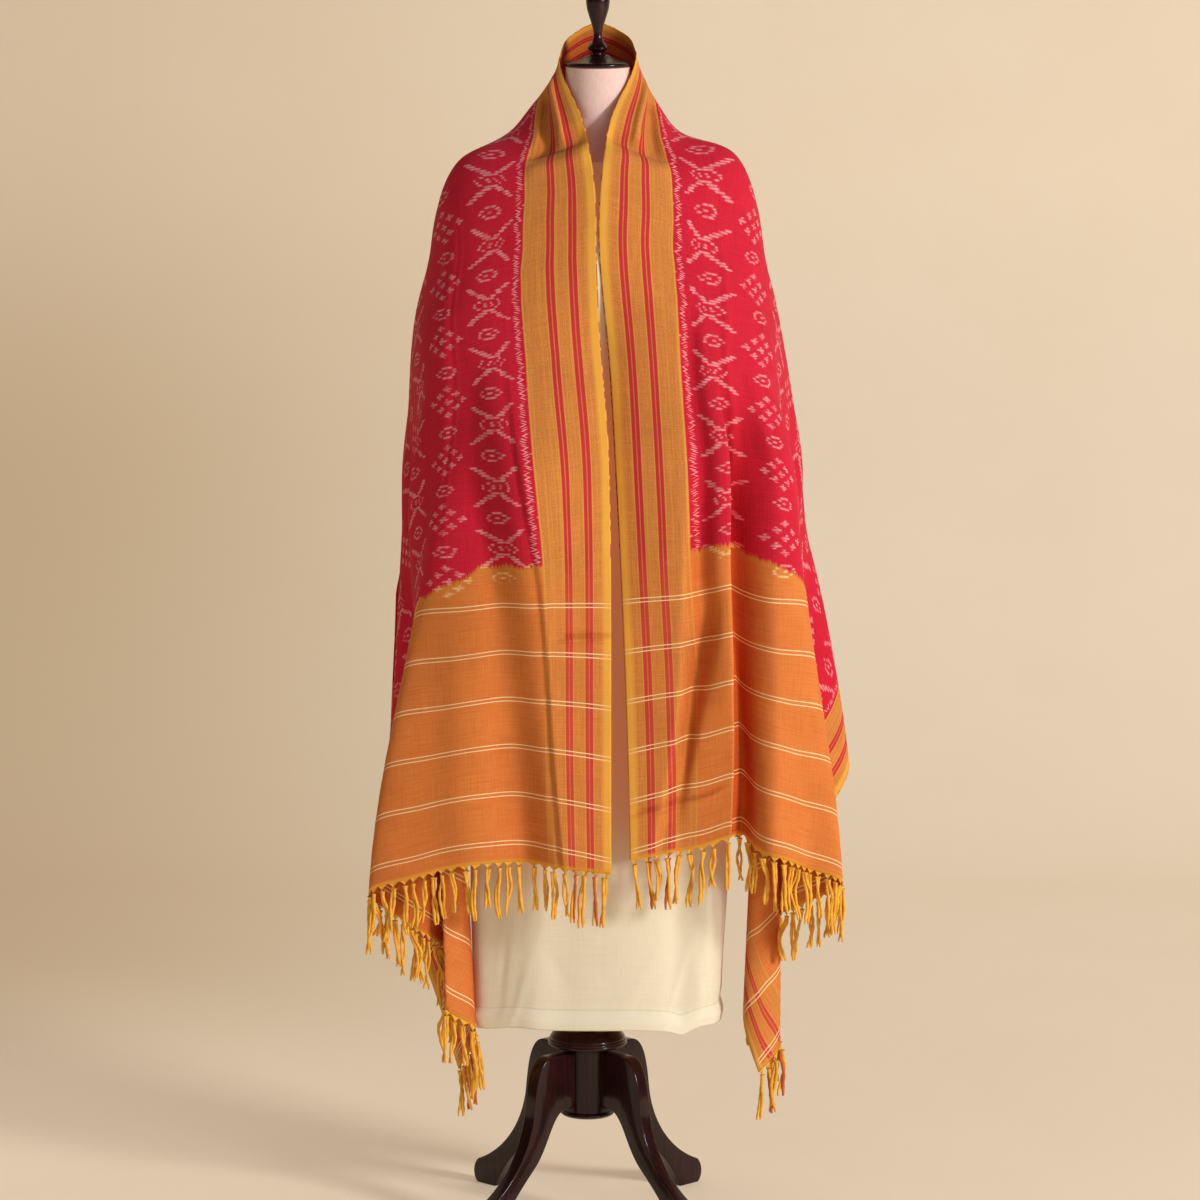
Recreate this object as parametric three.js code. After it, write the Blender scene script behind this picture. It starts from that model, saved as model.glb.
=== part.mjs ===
// Patola dupatta, draped as a shawl over a dress form that stands on a turned column with four legs.
// Millimetres, +Z up.  The front of the form faces -Y and its right hand side, seen from the front, is +X.
// The dupatta is a flat rectangle of cloth.  Behind the neck it hangs straight down from its long
// edge.  On each side it fans out from one point at the side of the neck, as a half circle cape does,
// so every place on the cloth is named by the line it hangs on and by the distance down that line.

import * as THREE from "three";
import { mergeVertices } from "three/addons/utils/BufferGeometryUtils.js";

const DEGREE = Math.PI / 180;
const GAP = 0.3;

// ---------------------------------------------------------------------------------------------
// Driving dimensions
// ---------------------------------------------------------------------------------------------

const CLOTH_LENGTH = 2530;
const CLOTH_WIDTH = 940;
const CLOTH_THICKNESS = 2;
const NAPE_HALF = 105;
const FRINGE_LENGTH = 72;
const FRINGE_TEETH = 28;
const FRINGE_THICKNESS = 1.4;

const SHIFT_OF_STAND = -15;
const COLUMN_RADIUS = 36;
const COLUMN_BOTTOM = 149;
const COLUMN_TOP = 243;
const BELL_TOP = 270;
const LEG_THICKNESS = 20;
const LEG_COUNT = 4;
const LEG_SEGMENTS = 10;
const POST_RADIUS = 14;
const TORSO_BOTTOM = 800;
const TORSO_TOP = 1645;
const SLIP_TOP = 1516;
const SLIP_HEM = 283;
const SLIP_THICKNESS = 1.6;

// ---------------------------------------------------------------------------------------------
// Hang of the cloth
// ---------------------------------------------------------------------------------------------

// Length of the front edge below the neck point, and the angle of the lower corner on the flat cloth.
const REACH = CLOTH_LENGTH / 2 - NAPE_HALF;
const CORNER = Math.atan2(CLOTH_WIDTH, REACH) / DEGREE;

// Distances down a hanging line, from the neck edge, at which its place in plan is given.
const LEVELS = { collar: 110, shoulder: 210, arm: 300, chest: 450, waist: 700, hem: 1200 };

// Down to the upper arms the cloth lies round the form in ovals: half width on each side, half depth,
// middle (depth), and the turn, from the front, at which the front edge of the cloth stands.
const RINGS = {
  collar: { left: 111, right: 101, depth: 73, middle: 11, start: 10 },
  shoulder: { left: 196, right: 191, depth: 99, middle: 0, start: 1 },
  arm: { left: 228, right: 225, depth: 117, middle: 0, start: 0.4 },
};

// Where the cloth leaves the neck on each side, and the nape between the two.
const NECK = { out: 52, depth: -5, left: 1658, right: 1664 };
const NAPE = { depth: 66, height: 1702 };

// Below the arms each row is one hanging line, from the front edge to the middle of the back.  theta is
// its angle on the flat cloth from the front edge, nape is how far behind the neck point it starts,
// and the rest are its places in plan: [distance out from the middle, depth towards the back].  lift
// is how much of its length small folds take up at the hem level.
const FOLDS = {
  left: [
    { theta: 0, nape: 0, chest: [-4, -125], waist: [-12, -136], hem: [-17, -142], lift: -8 },
    { theta: 5, nape: 0, chest: [34, -133], waist: [48, -147], hem: [84, -142], lift: 13 },
    { theta: 10, nape: 0, chest: [72, -137], waist: [108, -152], hem: [182, -170], lift: 22 },
    { theta: 14.5, nape: 0, chest: [108, -136], waist: [164, -144], hem: [258, -144], lift: 12 },
    { theta: 19, nape: 0, chest: [143, -130], waist: [220, -128], hem: [321, -130], lift: 3 },
    { theta: 28, nape: 0, chest: [207, -102], waist: [268, -70], hem: [238, -50], lift: -6 },
    { theta: 35.5, nape: 0, chest: [242, -64], waist: [244, -20], hem: [180, 30], lift: -20 },
    { theta: CORNER, nape: 0, chest: [251, -38], waist: [250, 6], hem: [222, 74], lift: -30 },
    { theta: 47, nape: 0, chest: [258, 22], waist: [273, 46], hem: [284, 130], lift: 0 },
    { theta: 56, nape: 0, chest: [236, 74], waist: [272, 98], hem: [302, 104], lift: 0 },
    { theta: 66, nape: 0, chest: [200, 126], waist: [208, 124], hem: [218, 138], lift: 0 },
    { theta: 78, nape: 0, chest: [146, 108], waist: [166, 176], hem: [186, 212], lift: 0 },
    { theta: 90, nape: 0, chest: [108, 144], waist: [111, 134], hem: [120, 146], lift: 0 },
    { theta: 90, nape: 52, chest: [54, 126], waist: [55, 162], hem: [58, 186], lift: 0 },
    { theta: 90, nape: 105, chest: [0, 138], waist: [0, 146], hem: [0, 156], lift: 0 },
  ],
  right: [
    { theta: 0, nape: 0, chest: [15, -125], waist: [32, -136], hem: [46, -142], lift: 7 },
    { theta: 5, nape: 0, chest: [53, -133], waist: [92, -147], hem: [146, -146], lift: 24 },
    { theta: 10, nape: 0, chest: [90, -137], waist: [150, -152], hem: [232, -164], lift: 24 },
    { theta: 14.5, nape: 0, chest: [123, -136], waist: [204, -142], hem: [292, -142], lift: 10 },
    { theta: 19, nape: 0, chest: [155, -130], waist: [254, -120], hem: [343, -126], lift: 0 },
    { theta: 28, nape: 0, chest: [210, -102], waist: [282, -68], hem: [264, -56], lift: -6 },
    { theta: 33.5, nape: 0, chest: [236, -68], waist: [260, -20], hem: [222, 6], lift: -18 },
    { theta: CORNER, nape: 0, chest: [247, -34], waist: [264, 6], hem: [264, 50], lift: -28 },
    { theta: 47, nape: 0, chest: [254, 22], waist: [286, 46], hem: [326, 118], lift: 0 },
    { theta: 56, nape: 0, chest: [236, 74], waist: [284, 98], hem: [368, 104], lift: 0 },
    { theta: 66, nape: 0, chest: [202, 126], waist: [222, 124], hem: [236, 138], lift: 0 },
    { theta: 78, nape: 0, chest: [148, 108], waist: [170, 176], hem: [194, 212], lift: 0 },
    { theta: 90, nape: 0, chest: [108, 144], waist: [111, 134], hem: [120, 146], lift: 0 },
    { theta: 90, nape: 52, chest: [54, 126], waist: [55, 162], hem: [58, 186], lift: 0 },
    { theta: 90, nape: 105, chest: [0, 138], waist: [0, 146], hem: [0, 156], lift: 0 },
  ],
};

const LEVEL_STEPS = [0, ...Object.values(LEVELS)];
const RING_STEPS = 180;
const TOP_SPREAD = 0.35;
const END_SPREAD = 0.4;

function ringPoint(ring, side, turn) {
  const angle = turn * DEGREE;
  return [ring[side] * Math.sin(angle), ring.middle - ring.depth * Math.cos(angle)];
}

// The cloth shares out the length of a ring evenly, from its front edge to the middle of the back.
function ringPlace(level, side, line) {
  const ring = RINGS[level];
  const quarter = LEVELS[level] * 90 * DEGREE;
  const share = (LEVELS[level] * line.theta * DEGREE + line.nape) / (quarter + NAPE_HALF);
  const points = Array.from({ length: RING_STEPS + 1 }, (_, k) =>
    ringPoint(ring, side, ring.start + ((180 - ring.start) * k) / RING_STEPS));
  const lengths = [0];
  for (let k = 0; k < RING_STEPS; k += 1) {
    const step = Math.hypot(points[k + 1][0] - points[k][0], points[k + 1][1] - points[k][1]);
    lengths.push(lengths[k] + step);
  }
  const wanted = share * lengths[RING_STEPS];
  const index = Math.max(lengths.findIndex((length) => length >= wanted), 1);
  const part = (wanted - lengths[index - 1]) / (lengths[index] - lengths[index - 1]);
  return points[index].map((value, k) => points[index - 1][k] + (value - points[index - 1][k]) * part);
}

function neckPlace(side, nape) {
  const angle = (nape / NAPE_HALF) * 90 * DEGREE;
  return new THREE.Vector3(
    NECK.out * Math.cos(angle),
    NECK.depth + (NAPE.depth - NECK.depth) * Math.sin(angle),
    NECK[side] + (NAPE.height - NECK[side]) * Math.sin(angle),
  );
}

// The knots of one hanging line: each drops by what its length leaves over from its plan.
function lineKnots(side, line) {
  const rings = Object.keys(RINGS).map((level) => ringPlace(level, side, line));
  const plan = [...rings, line.chest, line.waist, line.hem];
  const knots = [neckPlace(side, line.nape)];
  plan.forEach(([out, depth], index) => {
    const last = knots[index];
    const run = LEVEL_STEPS[index + 1] - LEVEL_STEPS[index];
    const across = Math.hypot(out - last.x, depth - last.y);
    knots.push(new THREE.Vector3(out, depth, last.z - Math.sqrt(run * run - across * across)));
  });
  knots[knots.length - 1].z += line.lift;
  return knots;
}

function spreadOf(slope, share) {
  slope.multiply(new THREE.Vector3(share, share, 1));
  slope.z = -Math.sqrt(1 - slope.x * slope.x - slope.y * slope.y);
}

// Slope of a line at each of its knots, for a smooth cubic through them.  The collar stands upright at
// its top, and the end of the line hangs steeper than the stretch above it.
function knotSlopes(knots) {
  const slopes = knots.map((knot, index) => {
    const before = Math.max(index - 1, 0);
    const after = Math.min(index + 1, knots.length - 1);
    const span = LEVEL_STEPS[after] - LEVEL_STEPS[before];
    return knots[after].clone().sub(knots[before]).divideScalar(span);
  });
  spreadOf(slopes[0], TOP_SPREAD);
  spreadOf(slopes[slopes.length - 1], END_SPREAD);
  return slopes;
}

function hangingLine(side, line) {
  const knots = lineKnots(side, line);
  const slopes = knotSlopes(knots);
  const last = knots.length - 1;
  return (distance) => {
    if (distance >= LEVEL_STEPS[last]) {
      return knots[last].clone().addScaledVector(slopes[last], distance - LEVEL_STEPS[last]);
    }
    let index = 0;
    while (LEVEL_STEPS[index + 1] < distance) index += 1;
    const span = LEVEL_STEPS[index + 1] - LEVEL_STEPS[index];
    const t = (distance - LEVEL_STEPS[index]) / span;
    const place = knots[index].clone().multiplyScalar((1 + 2 * t) * (1 - t) * (1 - t));
    place.addScaledVector(slopes[index], span * t * (1 - t) * (1 - t));
    place.addScaledVector(knots[index + 1], t * t * (3 - 2 * t));
    place.addScaledVector(slopes[index + 1], span * t * t * (t - 1));
    return place;
  };
}

const HANGING = {};
for (const [side, folds] of Object.entries(FOLDS)) {
  HANGING[side] = folds.map((line) => hangingLine(side, line));
}

function isPast(line, theta, nape) {
  return line.theta < theta || (line.theta === theta && line.nape < nape);
}

// How far a hanging line is from the front edge of the cloth, measured round it at one distance down.
function roundFromFront(line, distance) {
  return distance * line.theta * DEGREE + line.nape;
}

// Place of the cloth on one side, at an angle on the flat cloth, or behind the neck, and a distance.
// A smooth cubic runs through the hanging lines, so folds turn in soft curves.
function clothPlace(side, theta, nape, distance) {
  const folds = FOLDS[side];
  const last = folds.length - 1;
  let index = 0;
  while (index < last - 1 && isPast(folds[index + 1], theta, nape)) index += 1;
  const near = [index - 1, index, index + 1, index + 2].map((k) => Math.min(Math.max(k, 0), last));
  const places = near.map((k) => HANGING[side][k](distance));
  const rounds = near.map((k) => roundFromFront(folds[k], distance));
  if (index === last - 1) {
    places[3] = places[1].clone().multiply(new THREE.Vector3(-1, 1, 1));
    rounds[3] = 2 * rounds[2] - rounds[1];
  }
  const span = rounds[2] - rounds[1];
  if (span <= 0) return places[1];
  const t = (roundFromFront({ theta, nape }, distance) - rounds[1]) / span;
  const startSlope = places[2].clone().sub(places[0]).divideScalar(rounds[2] - rounds[0]);
  const endSlope = places[3].clone().sub(places[1]).divideScalar(rounds[3] - rounds[1]);
  const place = places[1].multiplyScalar((1 + 2 * t) * (1 - t) * (1 - t));
  place.addScaledVector(startSlope, span * t * (1 - t) * (1 - t));
  place.addScaledVector(places[2], t * t * (3 - 2 * t));
  return place.addScaledVector(endSlope, span * t * t * (t - 1));
}

function outerDistance(theta) {
  const down = Math.cos(theta * DEGREE);
  const across = Math.sin(theta * DEGREE);
  return theta < CORNER ? REACH / down : CLOTH_WIDTH / across;
}

// ---------------------------------------------------------------------------------------------
// Closed bodies
// ---------------------------------------------------------------------------------------------

const SAME_PLACE = 0.01;
const MERGE_WITHIN = 0.001;

// A closed body from corner points and triangles, with shared corners joined and slivers dropped.
function closedBody(points, triangles) {
  const raw = new THREE.BufferGeometry();
  raw.setAttribute("position", new THREE.Float32BufferAttribute(points.flatMap((p) => [p.x, p.y, p.z]), 3));
  raw.setIndex(triangles.flat());
  const joined = mergeVertices(raw, MERGE_WITHIN);
  const index = Array.from(joined.index.array);
  const kept = [];
  for (let i = 0; i < index.length; i += 3) {
    const [a, b, c] = index.slice(i, i + 3);
    if (a !== b && b !== c && c !== a) kept.push(a, b, c);
  }
  joined.setIndex(kept);
  return joined;
}

function gridNormal(grid, row, column) {
  const across = grid[row][Math.min(column + 1, grid[row].length - 1)].clone();
  across.sub(grid[row][Math.max(column - 1, 0)]);
  const down = grid[Math.min(row + 1, grid.length - 1)][column].clone();
  down.sub(grid[Math.max(row - 1, 0)][column]);
  return across.cross(down).normalize();
}

// Where several columns of the first row meet in one point, that point has one normal: the mean.
function gridNormals(grid) {
  const normals = grid.map((points, row) => points.map((_, column) => gridNormal(grid, row, column)));
  grid[0].forEach((point, column) => {
    const sum = new THREE.Vector3();
    let shared = 0;
    grid[0].forEach((other, k) => {
      if (other.distanceTo(point) > SAME_PLACE) return;
      sum.add(normals[1][k]);
      shared += 1;
    });
    if (shared > 1) normals[0][column] = sum.normalize();
  });
  return normals;
}

// Gives a grid of points a thickness.  Only the cells that isCloth allows are made, as one body.
function thickGrid(grid, thickness, isCloth = () => true) {
  const rows = grid.length;
  const columns = grid[0].length;
  const normals = gridNormals(grid);
  const points = [];
  for (let row = 0; row < rows; row += 1) {
    for (let column = 0; column < columns; column += 1) {
      for (const face of [0.5, -0.5]) {
        points.push(grid[row][column].clone().addScaledVector(normals[row][column], face * thickness));
      }
    }
  }
  const at = (row, column, face) => (row * columns + column) * 2 + face;
  const inside = (row, column) =>
    row >= 0 && column >= 0 && row < rows - 1 && column < columns - 1 && isCloth(row, column);
  const triangles = [];
  const quad = (a, b, c, d) => triangles.push([a, b, c], [a, c, d]);
  for (let row = 0; row < rows - 1; row += 1) {
    for (let column = 0; column < columns - 1; column += 1) {
      if (!inside(row, column)) continue;
      const corners = [[row, column], [row + 1, column], [row + 1, column + 1], [row, column + 1]];
      const beside = [[row, column - 1], [row + 1, column], [row, column + 1], [row - 1, column]];
      const [a, b, c, d] = corners.map(([r, k]) => at(r, k, 0));
      quad(a, d, c, b);
      const [e, f, g, h] = corners.map(([r, k]) => at(r, k, 1));
      quad(e, f, g, h);
      beside.forEach(([r, k], edge) => {
        if (inside(r, k)) return;
        const [r0, k0] = corners[edge];
        const [r1, k1] = corners[(edge + 1) % 4];
        quad(at(r0, k0, 0), at(r1, k1, 0), at(r1, k1, 1), at(r0, k0, 1));
      });
    }
  }
  return closedBody(points, triangles);
}

// A body of revolution about the vertical, from [radius, height] pairs that start and end on it.
function turned(profile, segments = 28) {
  const points = profile.map(([radius, height]) => new THREE.Vector2(radius, height));
  return new THREE.LatheGeometry(points, segments).rotateX(90 * DEGREE);
}

// Ovals round the form, one for each row of [height, half width, half depth, middle].
function oval([height, width, depth, middle], segments, grow = 0) {
  return Array.from({ length: segments }, (_, k) => {
    const angle = (k / segments) * 2 * Math.PI;
    const x = (width + grow) * Math.cos(angle);
    const y = middle + (depth + grow) * Math.sin(angle);
    return new THREE.Vector3(x, y, height);
  });
}

// Joins rings of points into a skin.  It closes on itself, or is capped at the first and last ring.
function ringBody(rings, capped) {
  const segments = rings[0].length;
  const points = rings.flat();
  const triangles = [];
  const last = rings.length - 1;
  const bands = capped ? last : rings.length;
  for (let band = 0; band < bands; band += 1) {
    const above = (band + 1) % rings.length;
    for (let k = 0; k < segments; k += 1) {
      const next = (k + 1) % segments;
      const [a, b] = [band * segments + k, band * segments + next];
      const [c, d] = [above * segments + k, above * segments + next];
      triangles.push([a, b, d], [a, d, c]);
    }
  }
  if (capped) {
    for (let k = 1; k < segments - 1; k += 1) {
      triangles.push([0, k + 1, k]);
      triangles.push([last * segments, last * segments + k, last * segments + k + 1]);
    }
  }
  return closedBody(points, triangles);
}

// ---------------------------------------------------------------------------------------------
// Dupatta and its fringes
// ---------------------------------------------------------------------------------------------

const CLOTH_ROWS = 24;
const ROW_CROWDING = 1.25;
const SPLITS = 2;

// The columns of one side, from the front edge round to the middle of the back.
function sideColumns(side) {
  const folds = FOLDS[side];
  const columns = [];
  for (let index = 0; index < folds.length - 1; index += 1) {
    for (let split = 0; split < SPLITS; split += 1) {
      const share = split / SPLITS;
      const theta = folds[index].theta + (folds[index + 1].theta - folds[index].theta) * share;
      const nape = folds[index].nape + (folds[index + 1].nape - folds[index].nape) * share;
      columns.push({ side, theta, nape });
    }
  }
  return columns;
}

function placeOnSide(column, distance) {
  const place = clothPlace(column.side, column.theta, column.nape, distance);
  if (column.side === "left") place.x *= -1;
  return place;
}

function dupattaBody() {
  const middleOfBack = { side: "left", theta: 90, nape: NAPE_HALF };
  const columns = [...sideColumns("left"), middleOfBack, ...sideColumns("right").reverse()];
  const grid = Array.from({ length: CLOTH_ROWS + 1 }, (_, row) => {
    const share = (row / CLOTH_ROWS) ** ROW_CROWDING;
    return columns.map((column) => placeOnSide(column, share * outerDistance(column.theta)));
  });
  return thickGrid(grid, CLOTH_THICKNESS);
}

const COMB_DROPS = [1.5, 5, 34, FRINGE_LENGTH];
const TOOTH_SHARE = 0.42;
const TIP_SHARE = 0.5;
const STEEPEST = 3;

// The fringe hangs straight down from the faceted end of the cloth, from the front to the corner.
function fringeBody(side) {
  const edge = sideColumns(side).filter((column) => column.theta <= CORNER + SAME_PLACE);
  const along = edge.map((column) => REACH * Math.tan(column.theta * DEGREE));
  const ends = edge.map((column) => placeOnSide(column, outerDistance(column.theta)));
  const pitch = along[along.length - 1] / FRINGE_TEETH;
  const teeth = Array.from({ length: FRINGE_TEETH }, (_, k) => {
    const middle = (k + 0.5) * pitch;
    const half = (TOOTH_SHARE * pitch) / 2;
    return { start: middle - half, middle, end: middle + half };
  });
  const stops = [...new Set([...along, ...teeth.flatMap((tooth) => [tooth.start, tooth.end])])];
  stops.sort((a, b) => a - b);
  const endAt = (distance) => {
    let index = 0;
    while (index < along.length - 2 && along[index + 1] < distance) index += 1;
    const share = (distance - along[index]) / (along[index + 1] - along[index]);
    return ends[index].clone().lerp(ends[index + 1], share);
  };
  // Where the end of the cloth slopes, the comb keeps its distance square to that slope.
  const steepness = along.slice(1).map((_, index) => {
    const span = ends[index + 1].clone().sub(ends[index]);
    return Math.min(span.length() / Math.hypot(span.x, span.y), STEEPEST);
  });
  const steepAt = (distance) => {
    const near = along.slice(1).map((stop, index) => ({ start: along[index], stop, index }));
    const beside = near.filter((s) => distance >= s.start - SAME_PLACE && distance <= s.stop + SAME_PLACE);
    return Math.max(...beside.map((s) => steepness[s.index]));
  };
  const toothOf = (distance) =>
    teeth.find((tooth) => distance >= tooth.start - SAME_PLACE && distance <= tooth.end + SAME_PLACE);
  const grid = COMB_DROPS.map((drop, row) =>
    stops.map((distance) => {
      const place = endAt(distance);
      const tooth = toothOf(distance);
      if (row >= 2 && tooth) {
        const pull = (row - 1) / (COMB_DROPS.length - 2);
        place.lerp(endAt(tooth.middle), pull * TIP_SHARE);
        place.z += (endAt(tooth.middle).z - place.z) * pull;
      }
      place.z -= row === 0 ? drop * steepAt(distance) : drop;
      return place;
    }));
  if (side === "right") grid.forEach((row) => row.reverse());
  const order = side === "right" ? [...stops].reverse() : stops;
  const isTooth = (column) => {
    const middle = (order[column] + order[column + 1]) / 2;
    return teeth.some((tooth) => middle > tooth.start && middle < tooth.end);
  };
  return thickGrid(grid, FRINGE_THICKNESS, (row, column) => row === 0 || isTooth(column));
}

// ---------------------------------------------------------------------------------------------
// Dress form
// ---------------------------------------------------------------------------------------------

// Rows of the jersey covered torso: height, half width, half depth and middle (depth).
const TORSO_ROWS = [
  [TORSO_BOTTOM, 165, 96, 0],
  [860, 169, 99, 0],
  [910, 166, 97, 0],
  [1000, 146, 90, 0],
  [1100, 134, 84, -2],
  [1220, 156, 98, -6],
  [1300, 172, 102, -8],
  [1380, 188, 98, -5],
  [1450, 194, 88, 0],
  [1490, 184, 72, 5],
  [1518, 169, 59, 8],
  [1535, 151, 50, 8],
  [1546, 123, 47, 8],
  [1556, 92, 46, 8],
  [1568, 56, 47, 6],
  [1596, 47, 47, 4],
  [TORSO_TOP, 45, 45, 2],
];
const TORSO_SEGMENTS = 32;

function torsoBody() {
  return ringBody(TORSO_ROWS.map((row) => oval(row, TORSO_SEGMENTS)), true);
}

// Rows of the slip below the hips, where it hangs clear of the torso.
const SKIRT_ROWS = [
  [SLIP_HEM, 174, 88, 0],
  [SLIP_HEM + 14, 173, 87, 0],
  [480, 172, 90, 0],
  [640, 172, 96, 0],
  [800, 172, 101, 0],
];
const SLIP_CLEARANCE = 1.4;

function rowAtHeight(rows, height) {
  const above = rows.findIndex((row) => row[0] >= height);
  const share = (height - rows[above - 1][0]) / (rows[above][0] - rows[above - 1][0]);
  return rows[above].map((value, k) => rows[above - 1][k] + (value - rows[above - 1][k]) * share);
}

function slipBody() {
  const covered = TORSO_ROWS.filter((row) => row[0] > TORSO_BOTTOM && row[0] < SLIP_TOP);
  const snug = [...covered, rowAtHeight(TORSO_ROWS, SLIP_TOP)];
  const outer = [];
  const inner = [];
  for (const row of SKIRT_ROWS) {
    outer.push(oval(row, TORSO_SEGMENTS));
    inner.push(oval(row, TORSO_SEGMENTS, -SLIP_THICKNESS));
  }
  for (const row of snug) {
    outer.push(oval(row, TORSO_SEGMENTS, SLIP_CLEARANCE + SLIP_THICKNESS));
    inner.push(oval(row, TORSO_SEGMENTS, SLIP_CLEARANCE));
  }
  return ringBody([...outer, ...inner.reverse()], false);
}

const CAP_HEIGHT = 11;
const CAP_PROFILE = [
  [0, TORSO_TOP + GAP],
  [44, TORSO_TOP + GAP],
  [46, TORSO_TOP + 2],
  [46, TORSO_TOP + 4],
  [43, TORSO_TOP + 6],
  [30, TORSO_TOP + 8],
  [12, TORSO_TOP + CAP_HEIGHT],
  [0, TORSO_TOP + CAP_HEIGHT],
];

const FINIAL_BOTTOM = TORSO_TOP + CAP_HEIGHT + GAP;
const FINIAL_PROFILE = [
  [0, 0],
  [11.5, 0],
  [9, 6],
  [8.5, 10],
  [13, 12],
  [14.5, 15],
  [13, 18],
  [9, 21],
  [6.6, 30],
  [6.4, 38],
  [8, 48],
  [11.5, 58],
  [15, 68],
  [17, 78],
  [17, 82],
  [15, 84],
  [16.5, 86],
  [15.5, 94],
  [11, 101],
  [5, 105],
  [0, 106],
].map(([radius, rise]) => [radius, FINIAL_BOTTOM + rise]);

// ---------------------------------------------------------------------------------------------
// Stand
// ---------------------------------------------------------------------------------------------

const BELL_PROFILE = [
  [0, COLUMN_TOP + GAP],
  [53, COLUMN_TOP + GAP],
  [57, COLUMN_TOP + 3],
  [57, COLUMN_TOP + 6],
  [55, COLUMN_TOP + 9],
  [48, COLUMN_TOP + 20],
  [42, BELL_TOP],
  [0, BELL_TOP],
];

const BASE_DISC_PROFILE = [
  [0, COLUMN_BOTTOM - 9],
  [35, COLUMN_BOTTOM - 9],
  [39.5, COLUMN_BOTTOM - 5],
  [39.5, COLUMN_BOTTOM - 3],
  [37, COLUMN_BOTTOM - GAP],
  [0, COLUMN_BOTTOM - GAP],
];

function rod(radius, bottom, top) {
  return turned([[0, bottom], [radius, bottom], [radius, top], [0, top]]);
}

// A leg is a plank cut to an S.  Each place is [reach out from the column's axis, height], and each
// curve has the two handles and the end of a cubic.
const LEG_NECK = { bottom: COLUMN_BOTTOM + 8, top: COLUMN_TOP - 4, hollow: 58, crown: 80 };
const LEG_SOLE = { heel: 168, toe: 206 };
const LEG_HOLLOW = [
  [[78, 151], [84, 108], [108, 83]],
  [[128, 62], [158, 34], [LEG_SOLE.heel, 0]],
];
const LEG_BACK = [
  [[215, 6], [216, 25], [205, 35]],
  [[160, 52], [124, 96], [115, 155]],
  [[112, 180], [112, LEG_NECK.top], [LEG_NECK.crown, LEG_NECK.top]],
];

function legBody() {
  const inner = COLUMN_RADIUS + GAP;
  const shape = new THREE.Shape();
  shape.moveTo(inner, LEG_NECK.bottom);
  shape.lineTo(LEG_NECK.hollow, LEG_NECK.bottom);
  for (const [first, second, end] of LEG_HOLLOW) shape.bezierCurveTo(...first, ...second, ...end);
  shape.lineTo(LEG_SOLE.toe, 0);
  for (const [first, second, end] of LEG_BACK) shape.bezierCurveTo(...first, ...second, ...end);
  shape.lineTo(inner, LEG_NECK.top);
  const settings = { depth: LEG_THICKNESS, bevelEnabled: false, curveSegments: LEG_SEGMENTS };
  const plank = new THREE.ExtrudeGeometry(shape, settings);
  plank.translate(0, 0, -LEG_THICKNESS / 2);
  return plank.rotateX(90 * DEGREE);
}

// ---------------------------------------------------------------------------------------------
// Assembly
// ---------------------------------------------------------------------------------------------

const MATERIALS = {
  cotton: { color: "#c8283a", roughness: 0.85, metalness: 0 },
  yarn: { color: "#dd9a2e", roughness: 0.9, metalness: 0 },
  jersey: { color: "#ddbbaa", roughness: 0.8, metalness: 0 },
  slip: { color: "#efe4c4", roughness: 0.9, metalness: 0 },
  mahogany: { color: "#2b1512", roughness: 0.25, metalness: 0 },
};

function addPiece(parent, name, geometry, material) {
  const piece = new THREE.Mesh(geometry, new THREE.MeshStandardMaterial(MATERIALS[material]));
  piece.name = name;
  parent.add(piece);
  return piece;
}

function buildStand() {
  const stand = new THREE.Group();
  addPiece(stand, "post", rod(POST_RADIUS, BELL_TOP + GAP, TORSO_BOTTOM - GAP), "mahogany");
  addPiece(stand, "bell_collar", turned(BELL_PROFILE), "mahogany");
  addPiece(stand, "column", rod(COLUMN_RADIUS, COLUMN_BOTTOM, COLUMN_TOP), "mahogany");
  addPiece(stand, "base_disc", turned(BASE_DISC_PROFILE), "mahogany");
  for (let k = 0; k < LEG_COUNT; k += 1) {
    const leg = addPiece(stand, `leg_${k + 1}`, legBody(), "mahogany");
    leg.rotation.z = ((k + 0.5) / LEG_COUNT) * 2 * Math.PI;
  }
  stand.position.x = SHIFT_OF_STAND;
  return stand;
}

const part = new THREE.Group();
addPiece(part, "dupatta", dupattaBody(), "cotton");
addPiece(part, "fringe_left", fringeBody("left"), "yarn");
addPiece(part, "fringe_right", fringeBody("right"), "yarn");
addPiece(part, "torso", torsoBody(), "jersey");
addPiece(part, "slip", slipBody(), "slip");
addPiece(part, "neck_cap", turned(CAP_PROFILE), "mahogany");
addPiece(part, "finial", turned(FINIAL_PROFILE), "mahogany");
part.add(buildStand());

// The origin is on the floor, under the middle of the whole.
const bounds = new THREE.Box3().setFromObject(part);
const middle = bounds.getCenter(new THREE.Vector3());
part.position.set(-middle.x, -middle.y, -bounds.min.z);

export default part;
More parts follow.
